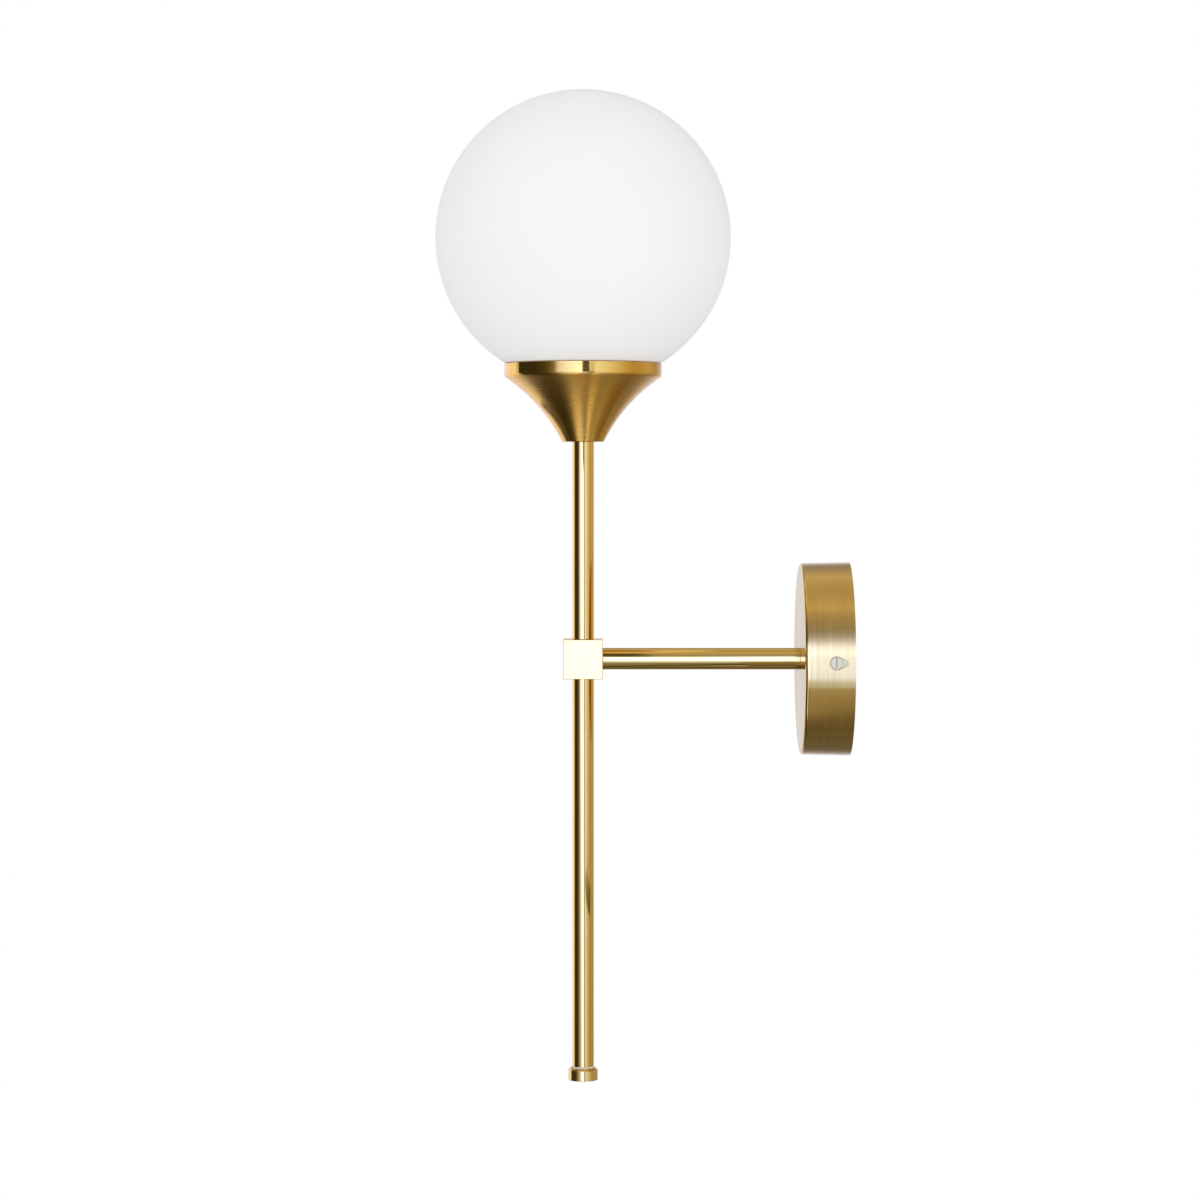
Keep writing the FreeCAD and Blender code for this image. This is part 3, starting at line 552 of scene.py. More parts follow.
# ---- pieces that show
def globe():
    """Opal ball with its short neck, one closed skin."""
    radius = (GLOBE_HIGH.x - GLOBE_LOW.x) / 2
    centre = GLOBE_HIGH.z - radius
    inner = radius - GLASS_WALL
    neck_inner = NECK_RADIUS - NECK_WALL
    neck_angle = math.degrees(math.asin(NECK_RADIUS / radius))
    inner_angle = math.degrees(math.asin(neck_inner / inner))
    bm = bmesh.new()
    top = bm.verts.new((0, 0, centre + radius))
    last = arc_to(bm, top, 0, centre, -(180 - neck_angle), BALL_STEPS)
    last = line_to(bm, last, NECK_RADIUS, GLOBE_LOW.z)
    last = line_to(bm, last, neck_inner, GLOBE_LOW.z)
    last = line_to(bm, last, neck_inner, centre - inner * math.cos(math.radians(inner_angle)))
    arc_to(bm, last, 0, centre, 180 - inner_angle, BALL_INNER_STEPS)
    turn(bm)
    soften(bm, GLASS_EASE, 3)
    place(bm, STEM)
    return finish_piece(bm, "globe_glass", "globe", "opal_glass", opal, "globe_shade", "globe_neck")


def flare_centre():
    """Centre of the flare's arc in the outline's plane, from the arc's ends at the band and the foot."""
    top = Vector((CUP_HIGH.x, CUP_HIGH.z - CUP_BAND))
    foot = Vector((CUP_FOOT_RADIUS, CUP_LOW.z))
    chord = foot - top
    outward = Vector((-chord.y, chord.x)).normalized()
    rise = math.sqrt(CUP_FLARE_RADIUS ** 2 - chord.length_squared / 4)
    return (top + foot) / 2 + outward * rise


def bearing(centre, radius, height):
    """Angle in degrees of a point seen from a centre, in an outline's plane."""
    return math.degrees(math.atan2(height - centre.y, radius - centre.x)) % 360


def cup():
    """Trumpet cup: flare, band with a rounded lower edge, rim and the hollow inside."""
    centre = flare_centre()
    corner_x = CUP_HIGH.x - CUP_BAND_ROUND
    reach = CUP_FLARE_RADIUS + CUP_BAND_ROUND
    corner_z = centre.y + math.sqrt(reach ** 2 - (centre.x - corner_x) ** 2)
    flare_end = bearing(centre, corner_x, corner_z)
    foot_angle = bearing(centre, CUP_FOOT_RADIUS, CUP_LOW.z)
    inner_reach = CUP_FLARE_RADIUS + CUP_WALL
    floor_z = CUP_LOW.z + CUP_FLOOR
    inner_rim = CUP_HIGH.x - CUP_WALL
    inner_band_z = centre.y + math.sqrt(inner_reach ** 2 - (centre.x - inner_rim) ** 2)
    floor_radius = centre.x - math.sqrt(inner_reach ** 2 - (floor_z - centre.y) ** 2)
    bm = bmesh.new()
    first, last = outline(bm, [(NIPPLE_HOLE_RADIUS, floor_z), (NIPPLE_HOLE_RADIUS, CUP_LOW.z),
                               (CUP_FOOT_RADIUS, CUP_LOW.z)])
    last = arc_to(bm, last, centre.x, centre.y, flare_end - foot_angle, FLARE_STEPS)
    last = arc_to(bm, last, corner_x, corner_z, 180 - flare_end, CORNER_STEPS)
    last = line_to(bm, last, CUP_HIGH.x, CUP_HIGH.z)
    last = line_to(bm, last, inner_rim + CUP_RIM_BEVEL, CUP_HIGH.z)
    last = line_to(bm, last, inner_rim, CUP_HIGH.z - CUP_RIM_BEVEL)
    last = line_to(bm, last, inner_rim, inner_band_z)
    inner_sweep = bearing(centre, floor_radius, floor_z) - bearing(centre, inner_rim, inner_band_z)
    last = arc_to(bm, last, centre.x, centre.y, inner_sweep, FLARE_STEPS)
    close(bm, last, first)
    turn(bm)
    soften(bm, THIN_EASE)
    place(bm, STEM)
    return finish_piece(bm, "cup_shell", "sconce", "brushed_brass", cup_brass, "lamp_cup")


def tube(name, node, start, direction, length, material):
    """Drawn tube with eased ends."""
    bm = bmesh.new()
    first, last = outline(bm, [(TUBE_BORE_RADIUS, 0), (TUBE_RADIUS, 0), (TUBE_RADIUS, length),
                               (TUBE_BORE_RADIUS, length)])
    close(bm, last, first)
    turn(bm)
    soften(bm, TUBE_EASE)
    place(bm, start, direction)
    return finish_piece(bm, name, "sconce", "polished_brass", material, node)


def stem_and_arm():
    for name, node in (("stem_upper", "upper_tube"), ("stem_lower", "lower_tube")):
        low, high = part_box(node)
        tube(name, node, STEM + Vector((0, 0, low.z)), UP, high.z - low.z, stem_brass)
    low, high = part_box("arm_tube")
    tube("arm", "arm_tube", Vector((0, low.y, 0)), INTO_WALL, high.y - low.y, arm_brass)


def cube():
    """Cube with eased edges, bored through for the stem and from the back for the arm."""
    low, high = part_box("junction_cube")
    centre = (low + high) / 2
    bm = block(low, high)
    soften(bm, CUBE_BEVEL, 3)
    upright = turned_piece([(0, low.z - MM), (THREAD_RADIUS, low.z - MM), (THREAD_RADIUS, high.z + MM),
                            (0, high.z + MM)], SMALL_STEPS)
    place(upright, STEM)
    inlet = turned_piece([(0, 0), (THREAD_RADIUS, 0), (THREAD_RADIUS, high.y - centre.y + MM),
                          (0, high.y - centre.y + MM)], SMALL_STEPS)
    place(inlet, centre, INTO_WALL)
    return finish_piece(carve(bm, upright, inlet), "cube", "sconce", "polished_brass", cube_brass,
                        "junction_cube")


def knob():
    """Finial knob, bevelled at its mouth, with the silver ring that stands in its recess."""
    low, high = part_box("finial_cap")
    ring_low, ring_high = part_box("finial_ring")
    radius = (high.x - low.x) / 2
    ring_radius = (ring_high.x - ring_low.x) / 2
    recess_z = high.z - KNOB_RECESS
    mouth = ring_radius + RING_PLAY
    bm = turned_piece([(0, low.z), (radius, low.z), (radius, high.z - KNOB_BEVEL),
                       (radius - KNOB_BEVEL, high.z), (mouth, high.z), (mouth, recess_z),
                       (THREAD_RADIUS, recess_z), (THREAD_RADIUS, low.z + KNOB_FLOOR),
                       (0, low.z + KNOB_FLOOR)])
    soften(bm, KNOB_EASE, 3)
    place(bm, STEM)
    finish_piece(bm, "finial_knob", "sconce", "polished_brass", knob_brass, "finial_cap")
    bm = turned_piece([(NIPPLE_HOLE_RADIUS, ring_low.z), (ring_radius, ring_low.z),
                       (ring_radius, ring_high.z), (NIPPLE_HOLE_RADIUS, ring_high.z)])
    soften(bm, THIN_EASE)
    place(bm, STEM)
    finish_piece(bm, "silver_ring", "sconce", "nickel", ring_plate, "finial_ring")


def keyhole_cutter(side, screw_y):
    """Teardrop prism along X: a round hole with a tail towards the wall."""
    lean = math.degrees(math.asin((KEYHOLE_RADIUS - TAIL_RADIUS) / TAIL_REACH))
    start = math.radians(90 - lean)
    bm = bmesh.new()
    first = bm.verts.new((KEYHOLE_RADIUS * math.cos(start), 0, KEYHOLE_RADIUS * math.sin(start)))
    last = arc_to(bm, first, 0, 0, 180 + 2 * lean, KEYHOLE_STEPS)
    last = line_to(bm, last, TAIL_REACH + TAIL_RADIUS * math.cos(start), -TAIL_RADIUS * math.sin(start))
    last = arc_to(bm, last, TAIL_REACH, 0, 180 - 2 * lean, TAIL_STEPS)
    close(bm, last, first)
    bmesh.ops.contextual_create(bm, geom=bm.edges[:])
    grown = bmesh.ops.extrude_face_region(bm, geom=bm.faces[:])
    pushed = [item for item in grown["geom"] if isinstance(item, bmesh.types.BMVert)]
    bmesh.ops.translate(bm, vec=(0, KEYHOLE_CUT, 0), verts=pushed)
    bmesh.ops.recalc_face_normals(bm, faces=bm.faces)
    # the outline's X runs towards the wall and its depth, Y, runs along the lamp's X
    bmesh.ops.transform(bm, matrix=Matrix(((0, 1, 0, 0), (1, 0, 0, 0), (0, 0, 1, 0), (0, 0, 0, 1))),
                        verts=bm.verts)
    bmesh.ops.recalc_face_normals(bm, faces=bm.faces)
    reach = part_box("canopy")[1].x
    bmesh.ops.translate(bm, vec=(side * reach - KEYHOLE_CUT / 2, screw_y, 0), verts=bm.verts)
    return bm


def canopy():
    """Round cover with a rolled front edge and a teardrop keyhole in each side."""
    low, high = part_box("canopy")
    rear = (high.x - low.x) / 2
    front = rear - CANOPY_FRONT_LESS
    depth = high.y - low.y
    screw_y = middle("canopy_screws").y
    bm = bmesh.new()
    first, last = outline(bm, [(NIPPLE_HOLE_RADIUS, depth - CANOPY_WALL), (NIPPLE_HOLE_RADIUS, depth),
                               (front - CANOPY_ROUND, depth)])
    last = arc_to(bm, last, front - CANOPY_ROUND, depth - CANOPY_ROUND, -90, CORNER_STEPS)
    last = line_to(bm, last, rear, 0)
    last = line_to(bm, last, rear - CANOPY_WALL, 0)
    last = line_to(bm, last, front - CANOPY_WALL, depth - CANOPY_ROUND)
    last = arc_to(bm, last, front - CANOPY_ROUND, depth - CANOPY_ROUND, 90, INNER_CORNER_STEPS)
    close(bm, last, first)
    turn(bm, CANOPY_STEPS)
    place(bm, WALL_POINT, OUT_OF_WALL)
    bm = carve(bm, keyhole_cutter(1, screw_y), keyhole_cutter(-1, screw_y))
    soften(bm, TUBE_EASE)
    return finish_piece(bm, "canopy_shell", "sconce", "brushed_brass", canopy_brass, "canopy")


def slotted_screw(radius, length, head_radius, head, slot_width, slot_depth):
    """Cheese-head screw along Z with its head on top; the slot runs along X."""
    top = length + head
    bm = turned_piece([(0, 0), (radius, 0), (radius, length), (head_radius, length), (head_radius, top),
                       (0, top)], SMALL_STEPS)
    soften(bm, SCREW_EASE, 3)
    slot = block(Vector((-2 * head_radius, -slot_width / 2, top - slot_depth)),
                 Vector((2 * head_radius, slot_width / 2, top + MM)))
    return carve(bm, slot)


def side_screws():
    """Two slotted screws that hold the canopy to the bracket's tabs, with their slots upright."""
    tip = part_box("canopy_screws")[1].x - SIDE_SCREW_HEAD - SIDE_SCREW_SHANK
    screw_y = middle("canopy_screws").y
    both = bmesh.new()
    for side in (-1, 1):
        screw = slotted_screw(SIDE_SCREW_RADIUS, SIDE_SCREW_SHANK, SIDE_SCREW_HEAD_RADIUS, SIDE_SCREW_HEAD,
                              SLOT_WIDTH, SLOT_DEPTH)
        axes = Matrix(((0, 0, side), (0, side, 0), (1, 0, 0))).to_4x4()
        bmesh.ops.transform(screw, matrix=axes, verts=screw.verts)
        bmesh.ops.translate(screw, vec=(side * tip, screw_y, 0), verts=screw.verts)
        bmesh.ops.recalc_face_normals(screw, faces=screw.faces)
        join(both, screw)
    return finish_piece(both, "side_screws", "sconce", "nickel", screw_plate, "canopy_screws")


# ---- pieces inside
def threaded_nipples():
    """Hollow threaded joints, their thread cut as close rounds."""
    crest_start, crest_end = THREAD_CREST
    root = THREAD_RADIUS - THREAD_DEPTH
    for name, node, direction in (("cup_joint", "cup_nipple", UP),
                                  ("upper_joint", "upper_nipple", UP),
                                  ("lower_joint", "lower_nipple", UP),
                                  ("finial_joint", "finial_nipple", UP),
                                  ("arm_joint", "arm_nipple", INTO_WALL),
                                  ("canopy_joint", "canopy_nipple", INTO_WALL)):
        low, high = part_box(node)
        centre = (low + high) / 2
        length = (high - low).dot(direction)
        rounds = int(length / THREAD_PITCH)
        pitch = length / rounds
        points = [(NIPPLE_BORE_RADIUS, 0), (root, 0)]
        for number in range(rounds):
            points.append((THREAD_RADIUS, (number + crest_start) * pitch))
            points.append((THREAD_RADIUS, (number + crest_end) * pitch))
            points.append((root, (number + 1) * pitch))
        points.append((NIPPLE_BORE_RADIUS, length))
        bm = turned_piece(points, SMALL_STEPS)
        place(bm, centre - direction * (length / 2), direction)
        finish_piece(bm, name, "sconce", "zinc_steel", zinc, node)


def eased_copy(name, node, body, slot, material, width):
    """Copy of a frame node with its sharp edges eased."""
    source = frame["nodes"][node]
    bm = bmesh.new()
    bm.from_mesh(source.data)
    bmesh.ops.transform(bm, matrix=source.matrix_world, verts=bm.verts)
    bmesh.ops.remove_doubles(bm, verts=bm.verts, dist=MERGE)
    bmesh.ops.dissolve_limit(bm, angle_limit=math.radians(0.5), verts=bm.verts, edges=bm.edges)
    soften(bm, width)
    return finish_piece(bm, name, body, slot, material, node)


def inner_pieces():
    """Eased copies of the inner nodes; the last number is the width of the easing in millimetres."""
    for name, node, slot, material, width in (
            ("bracket", "wall_bracket", "zinc_steel", zinc, 0.25),
            ("holder_strap", "lampholder_strap", "zinc_steel", zinc, 0.15),
            ("holder_body", "lampholder_body", "ceramic", ceramic, 0.3),
            ("terminals", "terminal_block", "white_plastic", white_plastic, 0.25),
            ("globe_carrier", "shade_carrier", "aluminium", aluminium, 0.15),
            ("holder_nuts", "carrier_nuts", "zinc_steel", zinc, 0.2),
            ("cup_clamp_nut", "cup_nut", "zinc_steel", zinc, 0.2),
            ("canopy_clamp_nut", "canopy_nut", "zinc_steel", zinc, 0.2),
            ("cup_clamp_washer", "cup_washer", "zinc_steel", zinc, 0.12),
            ("canopy_clamp_washer", "canopy_washer", "zinc_steel", zinc, 0.12),
            ("globe_seal", "shade_seal", "silicone", silicone, 0.3)):
        eased_copy(name, node, "sconce", slot, material, width * MM)


def bulb():
    """Pin-base bulb's ceramic foot, and its core with rows of light chips."""
    eased_copy("bulb_foot", "bulb_base", "bulb", "ceramic", ceramic, SCREW_EASE)
    low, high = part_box("bulb_core")
    axis = Vector((middle("bulb_core").x, middle("bulb_core").y, 0))
    outer = (high.x - low.x) / 2
    radius = outer - CORE_LESS
    core = turned_piece([(0, low.z), (radius, low.z), (radius, high.z), (0, high.z)], SMALL_STEPS)
    soften(core, CORE_EASE, 3)
    place(core, axis)
    finish_piece(core, "bulb_board", "bulb", "led_yellow", core_white, "bulb_core")
    half = CHIP_SIZE / 2
    reach = math.sqrt(outer ** 2 - half.y ** 2) - half.x
    spacing = (high.z - low.z) / CHIP_ROWS
    chips = bmesh.new()
    for row in range(CHIP_ROWS):
        for number in range(CHIPS_ROUND):
            chip = block(-half, half)
            soften(chip, CHIP_EASE)
            bmesh.ops.translate(chip, vec=(reach, 0, low.z + (row + 0.5) * spacing), verts=chip.verts)
            bmesh.ops.rotate(chip, cent=(0, 0, 0), verts=chip.verts,
                             matrix=Matrix.Rotation(2 * math.pi * number / CHIPS_ROUND, 3, "Z"))
            join(chips, chip)
    place(chips, axis)
    finish_piece(chips, "bulb_chips", "bulb", "led_yellow", led_core)


# ---- stage, light and camera
EYE = Vector((1.69, -0.1264, 0.08))
PHOTO_WIDTH = 0.6096           # of the stem's plane that the photograph takes in
PHOTO_MIDDLE_Z = 0.0298
SENSOR = 36.0
FLOOR_Z = -0.45
FLOOR_RADIUS = 0.74
ROOM_RADIUS = 1.7
ROOM_CENTRE = STEM + Vector((0, 0, 0.04))
FLOOR_TONE = 0.9
FLOOR_ROUGHNESS = 0.9
# Share of plain white near the stem and far from it, and the distances between which it grows
FLOOR_FADE = (0.55, 1.0, 0.1, FLOOR_RADIUS * 0.8)
WORLD_LEVEL = 0.835
LAMP_AIM = Vector((0, STEM.y, 0.1))
# Place, width in metres and power in watts of each lamp
LAMPS = {
    "front_light": (Vector((1.6, -0.7, 0.9)), 1.2, 3.4),
    "low_fill": (Vector((1.3, 0.3, -0.34)), 0.8, 2.4),
}


def camera():
    data = bpy.data.cameras.new("photo_camera")
    data.sensor_width = SENSOR
    data.lens = SENSOR * EYE.x / PHOTO_WIDTH
    data.shift_y = (PHOTO_MIDDLE_Z - EYE.z) / PHOTO_WIDTH
    made = linked("photo_camera", data)
    made.location = EYE
    made.rotation_mode = "QUATERNION"
    made.rotation_quaternion = Vector((-1, 0, 0)).to_track_quat("-Z", "Y")
    bpy.context.scene.camera = made


def background_share(tree):
    """1 for rays that should see the white background: camera, glossy and transmission rays."""
    path = add(tree, "ShaderNodeLightPath")
    seen = math_node(tree, "MAXIMUM", path.outputs["Is Camera Ray"], path.outputs["Is Glossy Ray"])
    return math_node(tree, "MAXIMUM", seen, path.outputs["Is Transmission Ray"])


def world(level):
    """White background, dimmer for the rays that light the lamp."""
    made = bpy.data.worlds.new("studio")
    made.use_nodes = True
    tree = made.node_tree
    background = tree.nodes["Background"]
    background.inputs["Color"].default_value = (1, 1, 1, 1)
    tree.links.new(spread(tree, background_share(tree), level, 1.0), background.inputs["Strength"])
    bpy.context.scene.world = made


def staged(bm, name, material, reflections_only=False):
    """Piece of the stage, no part of the lamp."""
    mesh = mesh_of(bm, name)
    mesh.materials.append(material)
    made = linked(name, mesh)
    if reflections_only:
        made.visible_camera = False
        made.visible_diffuse = False
        made.visible_shadow = False
        made.visible_transmission = False
    return made


def floor():
    """Pale floor that keeps the lamp's shadow near its middle and fades to the white background."""
    material, tree, shader = new_material("pale_floor")
    shader.inputs["Base Color"].default_value = (FLOOR_TONE, FLOOR_TONE, FLOOR_TONE, 1)
    shader.inputs["Roughness"].default_value = FLOOR_ROUGHNESS
    shader.inputs["Specular IOR Level"].default_value = 0.0
    vector = object_coordinates(tree, STEM)
    distance = add(tree, "ShaderNodeVectorMath", operation="LENGTH")
    flat = add(tree, "ShaderNodeVectorMath", operation="MULTIPLY")
    flat.inputs[1].default_value = (1, 1, 0)
    tree.links.new(vector, flat.inputs[0])
    tree.links.new(flat.outputs[0], distance.inputs[0])
    fade = spread(tree, distance.outputs["Value"], *FLOOR_FADE)
    white = add(tree, "ShaderNodeEmission")
    mixed = add(tree, "ShaderNodeMixShader")
    tree.links.new(times(tree, fade, background_share(tree)), mixed.inputs[0])
    tree.links.new(shader.outputs[0], mixed.inputs[1])
    tree.links.new(white.outputs[0], mixed.inputs[2])
    tree.links.new(mixed.outputs[0], tree.nodes["Material Output"].inputs["Surface"])
    bm = bmesh.new()
    bmesh.ops.create_circle(bm, cap_ends=True, radius=FLOOR_RADIUS, segments=96,
                            matrix=Matrix.Translation(STEM + Vector((0, 0, FLOOR_Z))))
    staged(bm, "floor", material).visible_glossy = False


# What polished metal mirrors: brightness of the room round the lamp. Bearings are in degrees from the camera
# and grow towards the wall, elevations are in degrees from the level. Each stop has its bearing, level and
# coolness.
LEVEL_BY_BEARING = [
    (-180, 0.74, 0.0), (-168, 0.80, 0.0), (-150, 1.05, 0.4), (-128, 1.08, 0.6), (-112, 1.08, 1.2),
    (-97, 0.05, 0.0), (-78, 0.03, 0.0), (-62, 0.05, 0.0), (-50, 0.12, 0.1), (-38, 0.35, 0.6), (-2, 1.05, 2.0),
    (14, 1.0, 2.0), (26, 0.98, 2.0), (38, 0.88, 1.5), (52, 0.76, 0.8), (64, 0.65, 0.2), (78, 0.50, 0.0),
    (94, 0.53, 0.0), (112, 0.60, 0.0), (132, 0.44, 0.0), (152, 0.60, 0.6), (170, 0.80, 0.4), (180, 0.74, 0.0),
]
LOW_BY_BEARING = [
    (-180, 0.14, 0.0), (-160, 0.08, 0.0), (-62, 0.03, 0.0), (-48, 0.20, 0.0), (-38, 1.35, 0.0),
    (-22, 1.30, 0.1), (-8, 0.62, 0.0), (-1, 0.20, 0.0), (8, 0.20, 0.0), (16, 0.55, 0.0), (27, 1.55, 0.1),
    (50, 1.30, 0.1), (66, 0.66, 0.0), (92, 0.46, 0.0), (115, 0.38, 0.0), (143, 0.14, 0.0), (180, 0.14, 0.0),
]
# Elevations, and how much of the levels above, of the low ones and of plain white is there
LEVEL_SHARE = [
    (-90, 0.0), (-59, 0.04), (-48, 0.15), (-39, 0.40), (-31, 0.75), (-22, 1.0), (10, 1.0), (18, 0.70),
    (26, 0.36), (34, 0.15), (45, 0.05), (60, 0.0), (90, 0.0),
]
LOW_SHARE = [
    (-90, 0.0), (-82, 0.25), (-74, 0.6), (-66, 1.0), (-60, 1.0), (-45, 0.6), (-32, 0.1), (-24, 0.0),
    (90, 0.0),
]
HIGH_SHARE = [
    (-90, 0.09), (-82, 0.08), (-74, 0.04), (-66, 0.0), (10, 0.0), (28, 0.10), (39, 0.27), (51, 0.44),
    (63, 0.62), (77, 0.48), (90, 0.43),
]
FAR_BEARING = 105.0                     # past this bearing on either side the light starts higher up
FAR_FADE = 15.0
FAR_LIFT = 6.0
LEFT_END = -60.0                        # left of this the light's edge shifts, more or less by elevation
LEFT_SHIFT = 16.0
LEFT_SHIFT_SHARE = [(-90, 1.0), (-32, 1.0), (-20, 0.0), (3, 0.0), (7, 0.42), (90, 0.42)]
RIGHT_DIM = ((22.0, 150.0), (-20.0, 0.78), (2.0, 1.0))   # its bearings, then elevation and share
SOFTBOX_EDGE = -38.5
SOFTBOX_SLANT = 1.30                    # below the level its left edge leans by so many degrees to one
SOFTBOX_END = 9.5
SOFTBOX_ELEVATION = (-24.0, 17.5)
SOFTBOX_RISE_FROM = 4.0                 # right of this bearing its top edge rises, so many degrees to one
SOFTBOX_RISE = 2.6
SOFTBOX_LEVEL = (0.55, 0.92, 4.4)
GAP_BEARING = 13.2                      # dark gap between the softbox and the light to its right
GAP_HALF_WIDTH = ((-20.0, 5.0), (2.0, 3.4))              # elevation and half width
GAP_TOP = 4.5
GAP_LEVEL = 0.2
FEATHER = 1.2
WIDE_FEATHER = 3 * FEATHER
GREATEST_LEVEL = 4.0                    # a ramp holds levels as shares of this
FRONT_LIGHT = ((-98.0, -82.0), (-22.0, 8.0), 0.45)       # bearings, elevations and level
# Two corners of each flag, and its levels nearest to the stem and farthest from it
FLAGS = {
    "upper_flag": (Vector((0.24, -0.1377, 0.10)), Vector((0.241, -0.098, 0.42)), 0.10, 0.10),
    "lower_flag": (Vector((0.02, -0.045, -0.141)), Vector((0.25, 0.08, -0.14)), 0.12, 0.40),
    "band_flag": (Vector((0.018, -0.186, 0.118)), Vector((0.041, -0.185, 0.182)), 0.04, 0.04),
    "stem_flag_above": (Vector((0.0, -0.161, 0.0088)), Vector((0.009, -0.160, 0.125)), 0.04, 0.04),
    "stem_flag_below": (Vector((0.0, -0.161, -0.225)), Vector((0.009, -0.160, -0.0105)), 0.04, 0.04),
}


def level_ramp(tree, bearing_now, stops):
    """Colour at a bearing, from stops of bearing, level and coolness."""
    ramp = add(tree, "ShaderNodeValToRGB")
    while len(ramp.color_ramp.elements) < len(stops):
        ramp.color_ramp.elements.new(0.5)
    for element, (degrees, level, cool) in zip(ramp.color_ramp.elements, stops):
        colour = (level, level * (1 + 0.2 * cool), level * (1 + cool))
        element.position = (degrees + 180) / 360
        element.color = (*[channel / GREATEST_LEVEL for channel in colour], 1)
    tree.links.new(spread(tree, bearing_now, 0, 1, -180, 180), ramp.inputs[0])
    return ramp.outputs[0]


def share_ramp(tree, angle, stops):
    """Share between 0 and 1 over an elevation in degrees."""
    curve = add(tree, "ShaderNodeFloatCurve")
    points = curve.mapping.curves[0].points
    while len(points) < len(stops):
        points.new(0.5, 0.5)
    for point, (degrees, share) in zip(points, stops):
        point.location = ((degrees + 90) / 180, share)
        point.handle_type = "VECTOR"
    curve.mapping.update()
    tree.links.new(spread(tree, angle, 0, 1, -90, 90), curve.inputs["Value"])
    return curve.outputs[0]


def window(tree, value, low, high, feather):
    """1 between two values, fading to 0 outside them."""
    rise = spread(tree, value, 0, 1, low - feather, low + feather)
    fall = spread(tree, value, 1, 0, high - feather, high + feather)
    return times(tree, rise, fall)


def scaled(tree, colour, factor):
    made = add(tree, "ShaderNodeVectorMath", operation="SCALE")
    tree.links.new(colour, made.inputs[0])
    tree.links.new(factor, made.inputs["Scale"])
    return made.outputs[0]


def summed(tree, first, second):
    made = add(tree, "ShaderNodeVectorMath", operation="ADD")
    tree.links.new(first, made.inputs[0])
    tree.links.new(second, made.inputs[1])
    return made.outputs[0]


def flat_colour(tree, channels):
    made = add(tree, "ShaderNodeCombineXYZ")
    for socket, channel in zip(made.inputs, channels):
        socket.default_value = channel / GREATEST_LEVEL
    return made.outputs[0]


def dome_angles(tree):
    """Bearing and elevation in degrees of a place on the dome."""
    parts = add(tree, "ShaderNodeSeparateXYZ")
    tree.links.new(object_coordinates(tree, ROOM_CENTRE), parts.inputs[0])
    x, y, z = parts.outputs
    around = math_node(tree, "ARCTAN2", y, x)
    upwards = math_node(tree, "ARCTAN2", z, length_of(tree, x, y))
    return [times(tree, angle, 180 / math.pi) for angle in (around, upwards)]


def shifted_bearing(tree, bearing_now, rise):
    """Bearing for the wide light, whose left edge shifts with the elevation."""
    on_left = math_node(tree, "LESS_THAN", bearing_now, LEFT_END)
    by_elevation = times(tree, share_ramp(tree, rise, LEFT_SHIFT_SHARE), LEFT_SHIFT)
    shift = times(tree, by_elevation, on_left)
    moved = math_node(tree, "MINIMUM", plus(tree, bearing_now, shift), LEFT_END)
    elsewhere = minus(tree, 1.0, on_left)
    return plus(tree, times(tree, moved, on_left), times(tree, bearing_now, elsewhere))


def wide_light(tree, bearing_now, rise):
    """Light all round the room, below it and above it, with the light in front."""
    level = level_ramp(tree, shifted_bearing(tree, bearing_now, rise), LEVEL_BY_BEARING)
    low = level_ramp(tree, bearing_now, LOW_BY_BEARING)
    white = flat_colour(tree, (1, 1, 1))
    far = spread(tree, math_node(tree, "ABSOLUTE", bearing_now), 0, FAR_LIFT, FAR_BEARING,
                 FAR_BEARING + FAR_FADE)
    below = math_node(tree, "LESS_THAN", rise, 0.0)
    lifted = minus(tree, rise, times(tree, far, below))
    right, (dim_low, dim_share), (dim_high, plain_share) = RIGHT_DIM
    dimmed = spread(tree, rise, dim_share, plain_share, dim_low, dim_high)
    on_right = window(tree, bearing_now, *right, WIDE_FEATHER)
    lost = times(tree, on_right, minus(tree, 1.0, dimmed))
    kept = minus(tree, 1.0, lost)
    light = scaled(tree, level, times(tree, kept, share_ramp(tree, lifted, LEVEL_SHARE)))
    light = summed(tree, light, scaled(tree, low, share_ramp(tree, rise, LOW_SHARE)))
    light = summed(tree, light, scaled(tree, white, share_ramp(tree, rise, HIGH_SHARE)))
    bearings, elevations, front_level = FRONT_LIGHT
    in_front = times(tree, window(tree, bearing_now, *bearings, WIDE_FEATHER),
                     window(tree, rise, *elevations, WIDE_FEATHER))
    return summed(tree, light, scaled(tree, white, times(tree, in_front, front_level)))


def softbox_light(tree, bearing_now, rise):
    """Softbox with a leaning left edge and a top edge that rises on the right."""
    lean = times(tree, math_node(tree, "MINIMUM", rise, 0.0), SOFTBOX_SLANT)
    slanted = plus(tree, bearing_now, lean)
    past_edge = spread(tree, slanted, 0, 1, SOFTBOX_EDGE - WIDE_FEATHER, SOFTBOX_EDGE + WIDE_FEATHER)
    before_end = spread(tree, bearing_now, 1, 0, SOFTBOX_END - 2 * FEATHER, SOFTBOX_END + 2 * FEATHER)
    past = math_node(tree, "MAXIMUM", minus(tree, bearing_now, SOFTBOX_RISE_FROM), 0.0)
    risen = times(tree, past, SOFTBOX_RISE)
    upper_half = math_node(tree, "GREATER_THAN", rise, 0.0)
    below_top = minus(tree, rise, times(tree, risen, upper_half))
    share = times(tree, times(tree, past_edge, before_end),
                  window(tree, below_top, *SOFTBOX_ELEVATION, WIDE_FEATHER))
    return scaled(tree, flat_colour(tree, SOFTBOX_LEVEL), share)


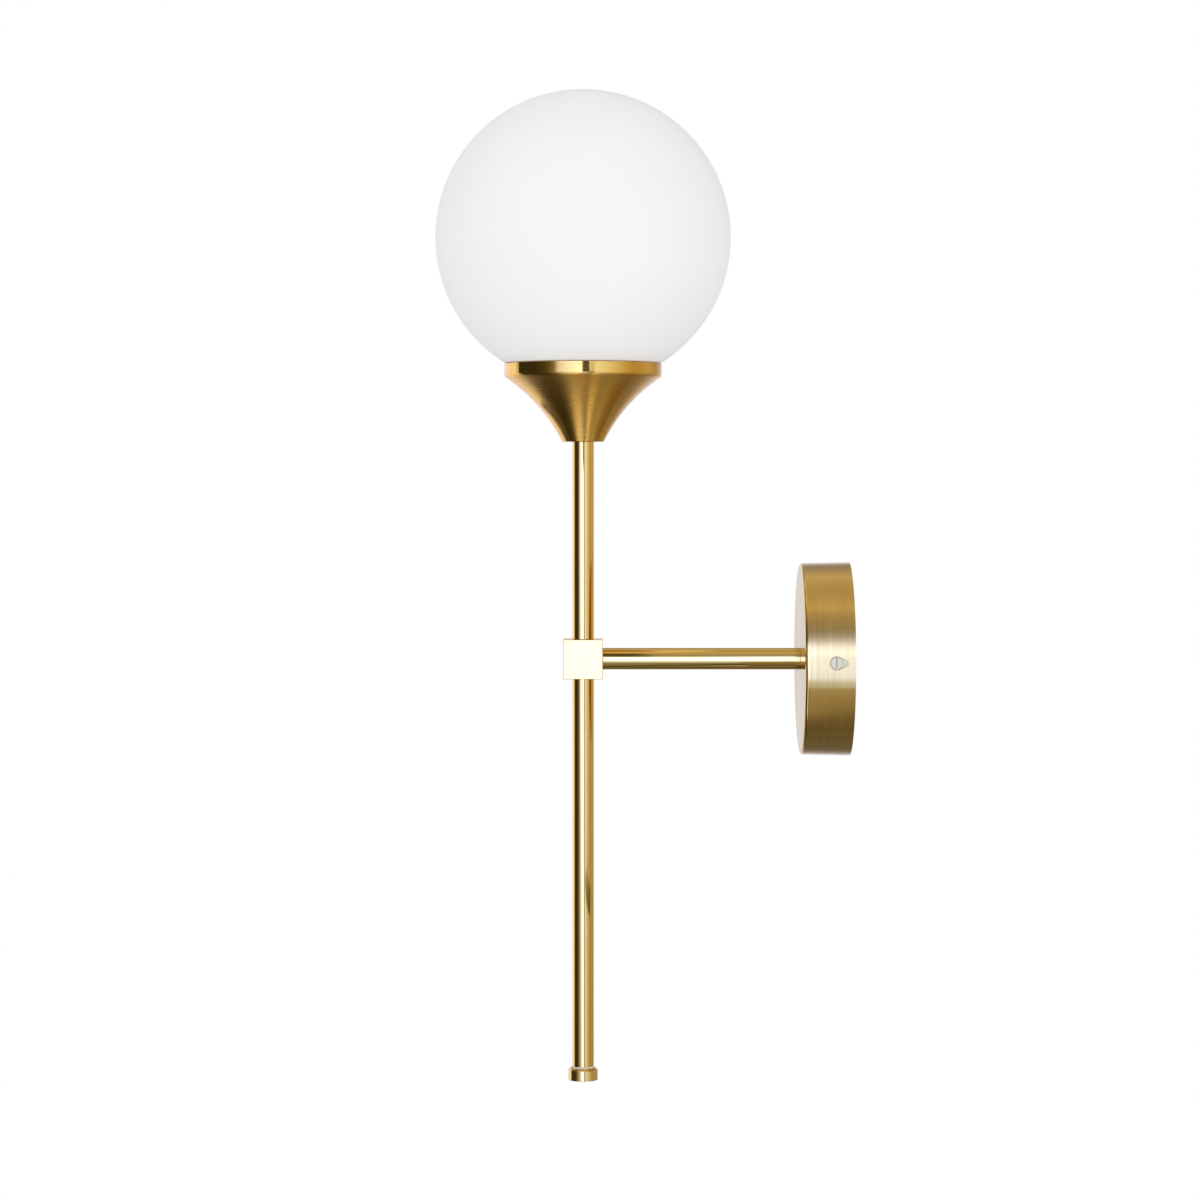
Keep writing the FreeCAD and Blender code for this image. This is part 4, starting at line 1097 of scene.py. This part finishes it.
def gap_factor(tree, bearing_now, rise):
    """What the dark gap beside the softbox leaves of the light."""
    (low_rise, wide), (high_rise, narrow) = GAP_HALF_WIDTH
    half_width = spread(tree, rise, wide, narrow, low_rise, high_rise)
    off_gap = math_node(tree, "ABSOLUTE", minus(tree, bearing_now, GAP_BEARING))
    in_gap = times(tree, math_node(tree, "LESS_THAN", off_gap, half_width),
                   math_node(tree, "LESS_THAN", rise, GAP_TOP))
    return spread(tree, in_gap, 1.0, GAP_LEVEL)


def glow_material(name):
    """Material that only glows. Gives it, its tree and its emission node."""
    material = bpy.data.materials.new(name)
    material.use_nodes = True
    tree = material.node_tree
    tree.nodes.clear()
    glow = add(tree, "ShaderNodeEmission")
    out = add(tree, "ShaderNodeOutputMaterial")
    tree.links.new(glow.outputs[0], out.inputs[0])
    return material, tree, glow


def room():
    """Dome of light and dark that only reflections see."""
    material, tree, glow = glow_material("room_dome")
    bearing_now, rise = dome_angles(tree)
    light = summed(tree, wide_light(tree, bearing_now, rise), softbox_light(tree, bearing_now, rise))
    light = scaled(tree, light, gap_factor(tree, bearing_now, rise))
    tree.links.new(light, glow.inputs["Color"])
    glow.inputs["Strength"].default_value = GREATEST_LEVEL
    bm = bmesh.new()
    bmesh.ops.create_uvsphere(bm, u_segments=96, v_segments=48, radius=ROOM_RADIUS,
                              matrix=Matrix.Translation(ROOM_CENTRE))
    staged(bm, "room_dome", material, reflections_only=True)


def dark_flag(name, low, high, near_level, far_level):
    """Thin dark flag near the lamp, which only its metal mirrors."""
    material, tree, glow = glow_material(name)
    parts = add(tree, "ShaderNodeSeparateXYZ")
    tree.links.new(object_coordinates(tree), parts.inputs[0])
    level = spread(tree, parts.outputs[0], near_level, far_level, low.x, high.x)
    tree.links.new(level, glow.inputs["Strength"])
    staged(block(low, high), name, material, reflections_only=True)


def lamp(name, place_at, width, power):
    """Soft square light aimed at the globe, not seen in reflections."""
    data = bpy.data.lights.new(name, "AREA")
    data.shape = "SQUARE"
    data.size = width
    data.energy = power
    made = linked(name, data)
    made.location = place_at
    made.rotation_mode = "QUATERNION"
    made.rotation_quaternion = (LAMP_AIM - place_at).to_track_quat("-Z", "Y")
    made.visible_glossy = False


def stage():
    world(WORLD_LEVEL)
    floor()
    room()
    for name, flag in FLAGS.items():
        dark_flag(name, *flag)
    for name, light in LAMPS.items():
        lamp(name, *light)


bpy.context.scene.view_settings.view_transform = "Standard"
dress_frame()
globe()
cup()
stem_and_arm()
cube()
knob()
canopy()
side_screws()
threaded_nipples()
inner_pieces()
bulb()
camera()
stage()
